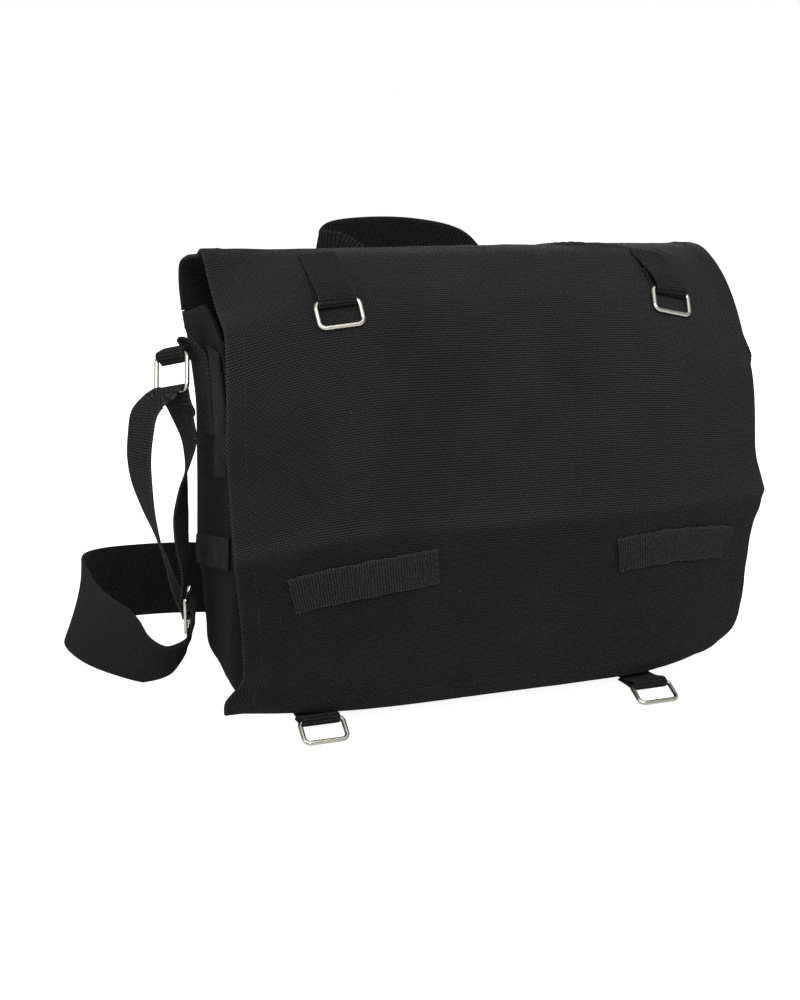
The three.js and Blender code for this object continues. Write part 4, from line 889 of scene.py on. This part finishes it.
def dress_flap():
    u = np.tile(flap_across * HALF_FLAP, (len(flap_lengths), 1))
    v = np.tile((flap_lengths - RIDGE_LENGTH)[:, None], (1, len(flap_across)))
    sideways = np.minimum(u + HALF_FLAP, HALF_FLAP - u)
    foot = flap_total - RIDGE_LENGTH - v
    depth = np.minimum(sideways, foot)
    fold = v - (FOLD_LENGTH - RIDGE_LENGTH)
    relief, hem, calm = flap_relief(u, v, depth, fold)
    start = smooth(v + RIDGE_LENGTH, 2, 30)
    out = -grid_normals(flap_grid)
    out = -out if out[len(out) // 2, len(flap_across) // 2, 1] > 0 else out
    # The lower corners are turned round: each square corner is drawn in to a quarter circle
    corner = np.where(u < 0, 7.0, CORNER_ROUND)
    away, below = np.clip(corner - sideways, 0, None), np.clip(corner - foot, 0, None)
    share = 1 - np.maximum(away, below) / np.maximum(np.hypot(away, below), 1e-6)
    share = share * (away > 0) * (below > 0)
    over = np.gradient(flap_grid, axis=1)
    over /= np.linalg.norm(over, axis=2, keepdims=True)
    fall = np.gradient(flap_grid, axis=0)
    fall /= np.linalg.norm(fall, axis=2, keepdims=True)
    drawn = flap_grid - over * (np.sign(u) * away * share)[..., None] - fall * (below * share)[..., None]
    # The lower left corner flares out in a small curl
    tip = np.clip(1 - foot / 19, 0, 1)
    curl = smooth(38 - foot, 0, 18) * np.clip(1 - (u + HALF_FLAP) / 30, 0, 1) ** 2 * np.sqrt(1 - 0.97 * tip**2)
    drawn += (out * 2.5 - over * 11.0) * curl[..., None]
    edge = np.minimum(depth, v + RIDGE_LENGTH)
    half = (CLOTH + 0.45 * hem) / 2
    round_off = half - half * np.sqrt(np.clip(1 - (1 - np.clip(edge / half, 0, 1)) ** 2, 0.05, 1))
    face = drawn + out * (relief * start - round_off)[..., None]
    inner = drawn + out * (relief * start - CLOTH - 0.45 * hem + round_off)[..., None]
    lay = np.zeros(flap_grid.shape)
    lay[..., 0] = u * 0.001
    lay[..., 1] = v * 0.001
    patch = 0.5 + 0.5 * noise(u / 38, v / 30, 46)
    wear_and_light = 0.5 * bump(edge, 0, 1.5) + 0.22 * bump(fold, -2, 7) * patch + 0.1 * patch
    # Painted light: the flap above the fold is painted paler, less so just under the ridge, as where it faces up to the
    # lamps
    wear_and_light += (0.24 + 0.16 * patch) * (1 - smooth(fold, -4, 3)) * (1 - 0.6 * bump(v, -4, 26))
    obj = slab("flap_canvas", face, inner, lay, CANVAS, "canvas", ["flap"], wear_and_light, 60)
    normals = grid_normals(face)
    normals = normals * np.sign(np.sum(normals * out, axis=2, keepdims=True))
    return obj, face, normals, out


flap_obj, flap_face, flap_normals, flap_out = dress_flap()


def on_face(across, down):
    """Point and outward direction of the flap's dressed face."""
    i = np.interp(down, flap_downs, np.arange(len(flap_downs)))
    j = np.interp(across, flap_across, np.arange(len(flap_across)))
    a, b = min(int(i), len(flap_downs) - 2), min(int(j), len(flap_across) - 2)
    fi, fj = i - a, j - b
    out = []
    for grid in (flap_face, flap_normals):
        out.append(mix(mix(grid[a, b], grid[a, b + 1], fj), mix(grid[a + 1, b], grid[a + 1, b + 1], fj), fi))
    return out[0], unit(out[1])


def flap_line(places):
    found = [on_face(a, d) for a, d in places]
    return [p for p, _ in found], [n for _, n in found]


flap_stitches = []
down_at = lambda length: float(np.interp(length, flap_reach, np.linspace(0, 1, 901)))
for sign in (LEFT, RIGHT):
    edge = sign * (1 - 11.5 / HALF_FLAP)
    line, normals = flap_line([(edge, down_at(s)) for s in np.linspace(14, flap_total - 11.5, 260)])
    flap_stitches += stitches(line, normals, length=2.4, pitch=4.0, radius=0.3, lift=0.1)
line, normals = flap_line([(a, down_at(flap_total - 11.5)) for a in np.linspace(-1 + 11.5 / HALF_FLAP, 1 - 11.5 / HALF_FLAP, 220)])
flap_stitches += stitches(line, normals, length=2.4, pitch=4.0, radius=0.3, lift=0.1)
line, normals = flap_line([(a, down_at(8)) for a in np.linspace(-0.96, 0.96, 220)])
flap_stitches += stitches(line, normals, length=2.4, pitch=4.0, radius=0.3, lift=0.1)
web_stitches = []
fibres = []


def fibre(root, direction, length, rng, radius=0.11):
    """Loose fibre that leaves root along direction and wanders."""
    path, place, ahead = [root], root, unit(direction)
    for _ in range(4):
        ahead = unit(ahead + rng.normal(0, 0.28, 3))
        place = place + ahead * length / 4
        path.append(place)
    return tube(path, radius, 3, 0.4)


def fray(centre, across, ahead, out, half, count, length, seed):
    """Fibres along the cut end of a strip, lying close to what is under it."""
    rng = np.random.default_rng(seed)
    for _ in range(count):
        place = centre + across * rng.uniform(-half, half) + out * rng.uniform(-0.4, 0.5)
        way = ahead + across * rng.normal(0, 0.35) + out * rng.uniform(-0.05, 0.25)
        fibres.append(fibre(place - ahead * 0.6, way, length * rng.uniform(0.4, 1.2), rng))


def seam_across(top, lift, rows, shares=(-0.82, 0.82)):
    """Stitches across a strip at a row of its face."""
    row = int(np.clip(rows, 0, len(top) - 1))
    columns = top.shape[1] - 1
    a, b = ((s + 1) / 2 * columns for s in shares)
    places = np.linspace(a, b, 24)
    base = top[row]
    line = np.stack([np.interp(places, np.arange(columns + 1), base[:, k]) for k in range(3)], -1)
    return stitches(line, np.tile(lift[row], (24, 1)), length=2.7, pitch=3.7, radius=0.3)


def seam_along(top, lift, start, end, share):
    columns = top.shape[1] - 1
    place = (share + 1) / 2 * columns
    k = min(int(place), columns - 1)
    line = mix(top[start:end, k], top[start:end, k + 1], place - k)
    return stitches(line, lift[start:end], length=2.7, pitch=3.7, radius=0.3)


def cross_stitch(top, lift, start, end, shares=(-0.75, 0.75)):
    """Box with a cross in it, sewn through a strip between two rows."""
    parts = []
    for share in shares:
        parts += seam_along(top, lift, start, end, share)
    for row in (start, end - 1):
        parts += seam_across(top, lift, row, shares)
    columns = top.shape[1] - 1
    for flip in (1, -1):
        places = np.linspace(shares[0] * flip, shares[1] * flip, end - start)
        line = []
        for row, share in zip(range(start, end), places):
            j = (share + 1) / 2 * columns
            k = min(int(j), columns - 1)
            line.append(mix(top[row, k], top[row, k + 1], j - k))
        parts += stitches(np.array(line), lift[start:end], length=2.7, pitch=3.7, radius=0.3)
    return parts


def top_tab(name, side):
    x, length = side * TAB_X, TAB_LENGTH[side]
    bar_length = TAB_START + length
    bar = on_flap(x, bar_length, BAR_LIFT)
    stops = []
    for share in (0, 0.25, 0.5, 0.75, 0.92):
        lift = mix(WEB_SEAT + GAP, BAR_LIFT + FOLD_RADIUS, smooth(share, 0.2, 0.92))
        place = on_flap(x, TAB_START + share * length, lift)
        stops.append((place["at"], place["over"], LINK_WIDTH))
    for angle in (90, 45, 0, -45, -90):
        turn = math.radians(angle)
        at = bar["at"] + bar["out"] * (FOLD_RADIUS * math.sin(turn)) + bar["fall"] * (FOLD_RADIUS * math.cos(turn))
        stops.append((at, bar["over"], LINK_WIDTH))
    for share in (0.3, 0.5):
        place = on_flap(x, bar_length - share * length, WEB_SEAT)
        stops.append((place["at"], place["over"], LINK_WIDTH))
    ragged = 0.5 if side == RIGHT else 0.15
    obj, top, under, rows = ribbon("top_tab_" + name + "_web", stops, 8, 10, replaced=["top_tab_" + name], ragged=ragged, seed=50 + side)
    face, lift = (top, rows[3]) if np.dot(rows[3][4], bar["out"]) > 0 else (under, -rows[3])
    global web_stitches
    web_stitches += cross_stitch(face, lift, 2, 17)
    first = on_flap(x, TAB_START, WEB_SEAT)
    fray(first["at"], first["over"], -first["fall"], first["out"], LINK_WIDTH / 2, 26, 2.0, 60 + side)
    if side == RIGHT:
        for row in range(4, 26, 2):
            edge = face[row, 0]
            rng = np.random.default_rng(200 + row)
            fibres.append(fibre(edge, -rows[2][row] + rows[1][row] * 0.4, 2.2 * rng.uniform(0.5, 1.3), rng))
    low = on_flap(x, bar_length + RING_HEIGHT - WIRE, WIRE / 2 + GAP)
    ring("top_ring_" + name + "_wire", bar["at"], bar["over"], low["at"] - bar["at"], RING_WIDTH, RING_HEIGHT, ["top_ring_" + name])


top_tab("left", LEFT)
top_tab("right", RIGHT)


def flap_loop(name, side):
    stops = []
    for share in (-0.5, -0.38, -0.2, 0, 0.2, 0.38, 0.5):
        lift = WEB_SEAT + LOOP_ARCH * smooth(0.5 - abs(share), 0.12, 0.4)
        place = on_flap(side * LOOP_X + share * LOOP_LENGTH, LOOP_DROP[side] - share * LOOP_RISE[side], lift)
        across = place["fall"] + place["over"] * (LOOP_RISE[side] / LOOP_LENGTH)
        stops.append((place["at"], across, LOOP_WIDTH))
        out = place["out"]
    obj, top, under, rows = ribbon("flap_loop_" + name + "_web", stops, 9, 12, replaced=["flap_loop_" + name], ragged=0.8, seed=70 + side, wear_and_light=0.75)
    face, lift = (top, rows[3]) if np.dot(rows[3][20], out) > 0 else (under, -rows[3])
    global web_stitches
    last = len(face)
    for start, end in ((2, 8), (last - 8, last - 2)):
        web_stitches += seam_across(face, lift, start, (-0.86, 0.86))
        web_stitches += seam_across(face, lift, end, (-0.86, 0.86))
    for k, sign in ((0, -1), (-1, 1)):
        fray(rows[0][k], rows[2][k], sign * rows[1][k], lift[k], LOOP_WIDTH / 2, 40, 2.4, 80 + side + k)


flap_loop("left", LEFT)
flap_loop("right", RIGHT)


# Places on the body's dressed faces
class Surface:
    """Finds a grid's third coordinate over a place given by its first two, named by keys."""

    def __init__(self, grid, keys, value):
        a, b, c, d = grid[:-1, :-1], grid[:-1, 1:], grid[1:, 1:], grid[1:, :-1]
        tri = np.concatenate([np.stack([a, b, c], 2).reshape(-1, 3, 3), np.stack([a, c, d], 2).reshape(-1, 3, 3)])
        self.p, self.value = tri[:, 0], value
        self.q, self.r, self.keys = tri[:, 1] - tri[:, 0], tri[:, 2] - tri[:, 0], keys
        k, m = keys
        self.det = self.q[:, k] * self.r[:, m] - self.r[:, k] * self.q[:, m]
        self.det[np.abs(self.det) < 1e-9] = 1e-9

    def at(self, a, b):
        k, m = self.keys
        x, y = a - self.p[:, k], b - self.p[:, m]
        s = (x * self.r[:, m] - self.r[:, k] * y) / self.det
        t = (self.q[:, k] * y - x * self.q[:, m]) / self.det
        best = int(np.argmax(np.minimum(np.minimum(s, t), 1 - s - t)))
        value = self.value
        return float(self.p[best, value] + s[best] * self.q[best, value] + t[best] * self.r[best, value])


HALF_ROW = (ROWS - 1) // 2
SIDE = {
    LEFT: Surface(gusset_outer[:HALF_ROW - 27], (1, 2), 0),
    RIGHT: Surface(gusset_outer[HALF_ROW + 28:], (1, 2), 0),
}
BACK = Surface(back_face, (0, 2), 1)
side_x = lambda side, y, z: SIDE[side].at(y, z)


def handle():
    width, spacing, sewn_length = 38.0, 124.0, 40.0

    def sewn(side):
        rows = []
        for share in (0, 0.3, 0.6, 0.9):
            x = side * spacing / 2
            z = BACK_RIM - CLOTH - sewn_length * (1 - share)
            seat = max(BACK.at(x + k * width / 2, z) for k in (-1, 0, 1))
            rows.append((vec(x, seat + WEB_SEAT + 3 * GAP * share, z), vec(-side, 0, 0), width))
        return rows

    loop = [(vec(x * HALF_WIDTH, y * HALF_DEPTH, z * BAG_HEIGHT), across, width) for x, y, z, across in HANDLE_ROUTE]
    stops = sewn(LEFT) + loop + sewn(RIGHT)[::-1]
    obj, top, under, rows = ribbon("carry_handle_web", stops, 8, 14, replaced=["carry_handle"], cup=0.5, wear_and_light=0.4)
    global web_stitches
    for start, end in ((1, 22), (len(top) - 22, len(top) - 1)):
        face, lift = (top, rows[3]) if rows[3][start + 3][1] > 0 else (under, -rows[3])
        web_stitches += cross_stitch(face, lift, start, end)


handle()


def bottom_tab(name, x, lower, out):
    hem = flap_point(x / HALF_FLAP, 1)
    hem_z = min(flap_point((x + k * LINK_WIDTH / 2) / HALF_FLAP, 1)[2] for k in (-1, 0, 1))
    seam_y = front_seam(0) - SEAM_OFFSET
    seam_z = BOTTOM_EDGE * (1 - math.cos(math.radians(80)))
    bar = vec(x, hem[1] - out, hem_z - lower)
    under = hem_z - lower / 4 - 3 * GAP - WEB
    beneath = under - WEB - 3 * GAP
    places = [
        vec(x, seam_y + GAP, seam_z - 1.5 * GAP - WEB / 2),
        vec(x, mix(seam_y, hem[1], 0.18), mix(seam_z, under, 0.7)),
        vec(x, mix(seam_y, hem[1], 0.5), under - GAP),
        vec(x, hem[1] + WEB, under),
    ]
    for angle in (90, 45, 0, -45, -90):
        turn = math.radians(angle)
        places.append(vec(x, bar[1] - FOLD_RADIUS * math.cos(turn), bar[2] + FOLD_RADIUS * math.sin(turn)))
    places += [vec(x, hem[1] + WEB, beneath), vec(x, mix(seam_y, hem[1], 0.6), beneath - GAP)]
    stops = [(at, vec(1, 0, 0), LINK_WIDTH) for at in places]
    obj, top, low, rows = ribbon("bottom_tab_" + name + "_web", stops, 8, 10, replaced=["bottom_tab_" + name])
    face, lift = (top, rows[3]) if rows[3][20][2] > 0 else (low, -rows[3])
    global web_stitches
    web_stitches += seam_across(face, lift, 18)
    drop = bar[2] - WIRE / 2 - GAP
    slope = math.sqrt((RING_HEIGHT - WIRE) ** 2 - drop**2)
    ring("bottom_ring_" + name + "_wire", bar, vec(1, 0, 0), vec(0, -slope, -drop), RING_WIDTH, RING_HEIGHT, ["bottom_ring_" + name])


bottom_tab("left", -143.0, 2, 7)
bottom_tab("right", 92.0, 3.5, 10)


def side_patch(name, side, front, rear, low, high, slopes, upright=False):
    rows, columns = int((high - low) / 2.4), int((rear - front) / 2.4)
    share = lambda count: np.concatenate([[0, 0.004, 0.015], np.linspace(0, 1, count + 1)[1:-1], [0.985, 0.996, 1]])
    down, over = share(rows), share(columns)
    outer, inner = np.zeros((len(down), len(over), 3)), np.zeros((len(down), len(over), 3))
    lay = np.zeros(outer.shape)
    for i, s in enumerate(down):
        for j, t in enumerate(over):
            y = mix(front, rear, t)
            z = mix(low, high, s) + 0.2 * mix(slopes[0], slopes[1], s) * (rear - y)
            x = side_x(side, y, z)
            edge = min(t * (rear - front), (1 - t) * (rear - front), s * (high - low), (1 - s) * (high - low))
            thick = WEB * (0.55 + 0.45 * float(smooth(edge, 0, 1.0)))
            outer[i, j] = (x + side * (GAP + thick), y, z)
            inner[i, j] = (x + side * GAP, y, z)
            lay[i, j] = vec(*((y - front, z - low, 0) if upright else (z - low, y - front, 0))) * 0.001
    wear_and_light = 0.35 + 0.45 * noise(outer[..., 1] / 9, outer[..., 2] / 13, 61 + side)
    slab(name + "_web", outer, inner, lay, WEBBING, "webbing", [name], wear_and_light, 50)
    return outer


def grid_line(grid, places, side):
    """Stitches through (row share, column share) places of a patch."""
    rows, columns = grid.shape[0] - 1, grid.shape[1] - 1
    line = []
    (a, b), (c, d) = places
    for t in np.linspace(0, 1, 40):
        i, j = mix(a, c, t) * rows, mix(b, d, t) * columns
        p, q = min(int(i), rows - 1), min(int(j), columns - 1)
        fi, fj = i - p, j - q
        line.append(mix(mix(grid[p, q], grid[p, q + 1], fj), mix(grid[p + 1, q], grid[p + 1, q + 1], fj), fi))
    return stitches(line, np.tile(vec(side, 0, 0), (40, 1)), length=2.7, pitch=3.7, radius=0.3)


def box_cross(grid, low, high, near, far, side):
    corners = [(low, near), (low, far), (high, far), (high, near)]
    parts = []
    for k in range(4):
        parts += grid_line(grid, (corners[k], corners[(k + 1) % 4]), side)
    return parts + grid_line(grid, (corners[0], corners[2]), side) + grid_line(grid, (corners[1], corners[3]), side)


def heading(side, turn, rise):
    return unit(vec(-side * math.cos(math.radians(turn)), math.sin(math.radians(turn)), rise))


RING_OUT, RING_LEVEL, STRAP_RING_HEIGHT = 20.0, 235.0, 28.0
SLIDER_WIDTH, SLIDER_HEIGHT, SLIDER_PLATE, SLIDER_BAR, SLIDER_LEVEL = 34.0, 26.0, 2.2, 3.0, 61.0


def slider(name, centre, across, replaced):
    """Flat cast slider with two slots and eased edges."""
    reach, tall, bar = SLIDER_WIDTH / 2, SLIDER_HEIGHT / 2, SLIDER_BAR
    xs = [-reach, -reach + bar, reach - bar, reach]
    zs = [-tall, -tall + bar, -bar / 2, bar / 2, tall - bar, tall]
    points, faces = [], []
    index = {}
    for face in (0, 1):
        for i, x in enumerate(xs):
            for j, z in enumerate(zs):
                cut = 0.75 if i in (0, 3) and j in (0, 5) else 0
                index[face, i, j] = len(points)
                points.append((x - math.copysign(cut, x), z - math.copysign(cut, z), (face - 0.5) * SLIDER_PLATE))
    solid = lambda i, j: 0 <= i < 3 and 0 <= j < 5 and not (i == 1 and j in (1, 3))
    for i in range(3):
        for j in range(5):
            if not solid(i, j):
                continue
            ring_of = [(i, j), (i + 1, j), (i + 1, j + 1), (i, j + 1)]
            faces.append([index[1, a, b] for a, b in ring_of])
            faces.append([index[0, a, b] for a, b in ring_of][::-1])
            for (a, b), (c, d), (ni, nj) in (
                ((i, j), (i + 1, j), (i, j - 1)), ((i + 1, j), (i + 1, j + 1), (i + 1, j)),
                ((i + 1, j + 1), (i, j + 1), (i, j + 1)), ((i, j + 1), (i, j), (i - 1, j)),
            ):
                if not solid(ni, nj):
                    faces.append([index[0, a, b], index[0, c, d], index[1, c, d], index[1, a, b]])
    facing = np.cross(across, vec(0, 0, 1))
    placed = [centre + across * x + vec(0, 0, z) + facing * y for x, z, y in points]
    obj = piece(name, placed, faces, CHROME, "plated_wire", replaced, sharp=35)
    bevel = obj.modifiers.new("eased", "BEVEL")
    bevel.width, bevel.segments, bevel.limit_method = 0.0006, 3, "ANGLE"


def strap_end(name, side):
    tab_y, bar_y = 0.14 * HALF_DEPTH, 0.34 * HALF_DEPTH
    bar = vec(side_x(side, bar_y, RING_LEVEL) + side * RING_OUT, bar_y, RING_LEVEL)
    over = heading(side, 124, -0.22)
    inward = unit(np.cross(over, vec(0, 0, -side)))
    up = unit(np.cross(inward, over)) * -side

    def polar(centre, radius, angle):
        turn = math.radians(angle)
        return centre + inward * (radius * math.cos(turn)) + up * (radius * math.sin(turn))

    stops = []
    for share in (0, 0.35, 0.7, 1):
        z = RING_LEVEL - 12 - 40.0 * (1 - share)
        stops.append((vec(side_x(side, tab_y, z) + side * (WEB_SEAT + GAP * share), tab_y, z), vec(0, 1, 0), LINK_WIDTH))
    leaving = vec(side_x(side, tab_y, RING_LEVEL) + side * 3.5, tab_y + 5, RING_LEVEL - 3 * GAP)
    arriving = bar + inward * 8 + up * (FOLD_RADIUS + 1.5)
    stops.append((leaving, mix(vec(0, 1, 0), over, 0.3), LINK_WIDTH))
    stops.append((arriving, mix(vec(0, 1, 0), over, 0.85), LINK_WIDTH))
    stops += [(polar(bar, FOLD_RADIUS, a), over, LINK_WIDTH) for a in (90, 115, 150, 180, 220, 258)]
    stops.append((polar(bar, 2.2 * FOLD_RADIUS, 285), over, LINK_WIDTH))
    obj, top, under, rows = ribbon("strap_tab_" + name + "_web", stops, 7, 10, replaced=["strap_tab_" + name], wear_and_light=0.5)
    face, lift = (top, rows[3]) if rows[3][4][0] * side > 0 else (under, -rows[3])
    global web_stitches
    web_stitches += cross_stitch(face, lift, 2, 19)

    down = -up * math.cos(STRAP_RING_SWING) - inward * math.sin(STRAP_RING_SWING)
    ring("strap_ring_" + name + "_wire", bar, over, down, 32.0, STRAP_RING_HEIGHT, ["strap_ring_" + name])
    low_bar = bar + down * (STRAP_RING_HEIGHT - WIRE)

    centre = vec(side * 1.081 * HALF_WIDTH, 0.22 * HALF_DEPTH, SLIDER_LEVEL)
    slide_over = heading(side, 72, 0)
    out = vec(side, 0, 0) - slide_over * (side * slide_over[0])
    out = unit(out)
    threaded = lambda lift, z: (centre + out * lift + vec(0, 0, z), slide_over, LINK_WIDTH)

    def strand(row):
        x = row[0 if side == LEFT else -1]
        at = vec(side * x * HALF_WIDTH, row[1] * HALF_DEPTH, mix(SLIDER_LEVEL, low_bar[2], row[2]))
        return at, heading(side, row[3], 0), LINK_WIDTH

    beside = lambda towards, rise: (low_bar + inward * towards + up * rise, over, LINK_WIDTH)
    outside = SLIDER_PLATE / 2 + GAP + WEB / 2
    slot = (SLIDER_HEIGHT - SLIDER_BAR) / 4
    web_stops = [
        threaded(-outside - GAP, -SLIDER_HEIGHT / 2 - 3 * GAP),
        threaded(-outside - WEB / 2, -slot),
        threaded(-outside - WEB - 2 * GAP, -SLIDER_BAR / 6),
        threaded(-outside - WEB / 2 - GAP, 0.4 * slot),
        threaded(0, slot),
        threaded(outside + WEB / 2, 1.55 * slot),
        threaded(outside + 2 * GAP, SLIDER_HEIGHT / 2 - GAP),
    ]
    web_stops += [strand(row + (row[0],)) for row in INNER_STRAND]
    web_stops.append(beside(FOLD_RADIUS + GAP, -7))
    web_stops += [(polar(low_bar, FOLD_RADIUS + GAP, a), over, LINK_WIDTH) for a in (0, 45, 90, 135)]
    web_stops.append(beside(-7, -1.5))
    web_stops += [strand(row) for row in OUTER_STRAND]
    web_stops += [
        threaded(outside + 2.2 * WEB, 0.8 * SLIDER_HEIGHT / 2),
        threaded(outside + 1.3 * WEB, slot),
        threaded(outside + GAP / 2, SLIDER_BAR / 4),
        threaded(0.8 * outside, -0.7 * SLIDER_BAR),
        threaded(0, -SLIDER_BAR / 2 - GAP - 0.7 * WEB),
        threaded(-0.8 * outside, -0.7 * SLIDER_BAR),
        threaded(-outside - GAP / 2, 0),
    ]
    ribbon("strap_web_" + name + "_web", web_stops, 7, 10, replaced=["strap_web_" + name], wear_and_light=1.0)
    slider("strap_slider_" + name + "_plate", centre, slide_over, ["strap_slider_" + name])

    rear = tab_y - LINK_WIDTH / 2 - 2
    high = 243.0 if side == LEFT else 225.0
    grid = side_patch("side_webbing_" + name, side, rear - 33.0, rear, 156.0, high, (1, 0), upright=True)
    web_stitches += box_cross(grid, 0.06, 0.34, 0.1, 0.9, side)
    grid = side_patch("side_band_" + name, side, -46.0, 46.0, 84.0, 106.0, (1, 1))
    web_stitches += box_cross(grid, 0.1, 0.9, 0.06, 0.3, side)
    web_stitches += box_cross(grid, 0.1, 0.9, 0.7, 0.94, side)


strap_end("left", LEFT)
strap_end("right", RIGHT)

strap_stops = []
for x, y, z, wide, across in STRAP_ROUTE:
    strap_stops.append((vec(x * HALF_WIDTH, y * HALF_DEPTH, z * STRAP_WIDTH), across, wide * STRAP_WIDTH))
ribbon("strap_wide_web", strap_stops, 9, 18, replaced=["strap_wide"], wear_and_light=0.1)

SEWN = [
    ("body_stitches", body_stitches, "canvas"), ("flap_stitches", flap_stitches, "canvas"),
    ("webbing_stitches", web_stitches, "webbing"), ("loose_fibres", fibres, "webbing"),
]
for label, parts, slot_name in SEWN:
    points, faces = join_parts(parts)
    piece(label, points, faces, THREAD, slot_name, sharp=80)

# Camera, as solved from the photograph: focal length in pixels of an 800 x 1000 frame
FOCAL, YAW, PITCH, ROLL = 1446.8473, 0.3578, 0.2268, 0.0053
PLACE = (-0.4012102, -0.9231136, 0.356878)
flat_ahead, right = vec(math.sin(YAW), math.cos(YAW), 0), vec(math.cos(YAW), -math.sin(YAW), 0)
ahead = flat_ahead * math.cos(PITCH) - vec(0, 0, 1) * math.sin(PITCH)
upward = flat_ahead * math.sin(PITCH) + vec(0, 0, 1) * math.cos(PITCH)
camera_x = right * math.cos(ROLL) + upward * math.sin(ROLL)
camera_y = upward * math.cos(ROLL) - right * math.sin(ROLL)
camera_data = bpy.data.cameras.new("camera")
camera_data.sensor_width = 36.0
camera_data.lens = 36.0 * FOCAL / 1000
camera_data.clip_start = 0.01
camera = bpy.data.objects.new("camera", camera_data)
turn = Matrix([list(row) for row in np.stack([camera_x, camera_y, -ahead], -1)]).to_4x4()
turn.translation = PLACE
camera.matrix_world = turn
bpy.context.scene.collection.objects.link(camera)
bpy.context.scene.camera = camera

# Light
def by_ray(tree, output, other, seen):
    """Joins what the camera sees and what every other ray meets."""
    swap = tree.nodes.new("ShaderNodeMixShader")
    path = tree.nodes.new("ShaderNodeLightPath")
    tree.links.new(path.outputs["Is Camera Ray"], swap.inputs[0])
    tree.links.new(other.outputs[0], swap.inputs[1])
    tree.links.new(seen.outputs[0], swap.inputs[2])
    tree.links.new(swap.outputs[0], tree.nodes.new(output).inputs[0])


world = bpy.data.worlds.new("studio")
bpy.context.scene.world = world
world.use_nodes = True
tree = world.node_tree
tree.nodes.clear()
soft, seen = tree.nodes.new("ShaderNodeBackground"), tree.nodes.new("ShaderNodeBackground")
for shader, strength in ((soft, 0.33), (seen, 1.0)):
    shader.inputs[0].default_value = (1, 1, 1, 1)
    shader.inputs[1].default_value = strength
by_ray(tree, "ShaderNodeOutputWorld", soft, seen)


def area(name, place, target, size, power):
    data = bpy.data.lights.new(name, "AREA")
    data.shape = "RECTANGLE"
    data.size, data.size_y = size
    data.energy = power
    obj = bpy.data.objects.new(name, data)
    way = unit(vec(*target) - vec(*place))
    side = unit(np.cross(way, vec(0, 0, 1)))
    top = np.cross(side, way)
    matrix = Matrix([list(row) for row in np.stack([side, top, -way], -1)]).to_4x4()
    matrix.translation = place
    obj.matrix_world = matrix
    bpy.context.scene.collection.objects.link(obj)


area("key", (-0.45, -1.9, 1.5), (0, 0, 0.15), (1.3, 1.0), 30)
area("top", (0.1, -0.6, 1.8), (0, 0, 0.1), (1.8, 1.4), 5)
area("back", (1.0, 2.0, 0.8), (0, 0, 0.15), (1.4, 1.0), 24)
area("fill", (-1.6, -0.9, 0.8), (0, 0, 0.15), (1.0, 1.2), 5)

# Floor
floor_mesh = bpy.data.meshes.new("floor")
corners = [(x, y, -0.0004) for x, y in ((-6, -6), (6, -6), (6, 6), (-6, 6))]
floor_mesh.from_pydata(corners, [], [(0, 1, 2, 3)])
floor = bpy.data.objects.new("floor", floor_mesh)
bpy.context.scene.collection.objects.link(floor)
material = bpy.data.materials.new("floor_white")
material.use_nodes = True
tree = material.node_tree
tree.nodes.clear()
paint = tree.nodes.new("ShaderNodeBsdfDiffuse")
paint.inputs[0].default_value = (0.82, 0.82, 0.82, 1)
glow = tree.nodes.new("ShaderNodeEmission")
glow.inputs[1].default_value = 0.93
both = tree.nodes.new("ShaderNodeAddShader")
tree.links.new(paint.outputs[0], both.inputs[0])
tree.links.new(glow.outputs[0], both.inputs[1])
by_ray(tree, "ShaderNodeOutputMaterial", paint, both)
floor_mesh.materials.append(material)
floor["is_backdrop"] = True

bpy.context.scene.view_settings.view_transform = "Standard"
bpy.context.scene.view_settings.look = "None"

{"cad": [list(map(float, corner)) for corner in CAD_BOX], "visual": [list(map(float, corner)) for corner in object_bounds()]}
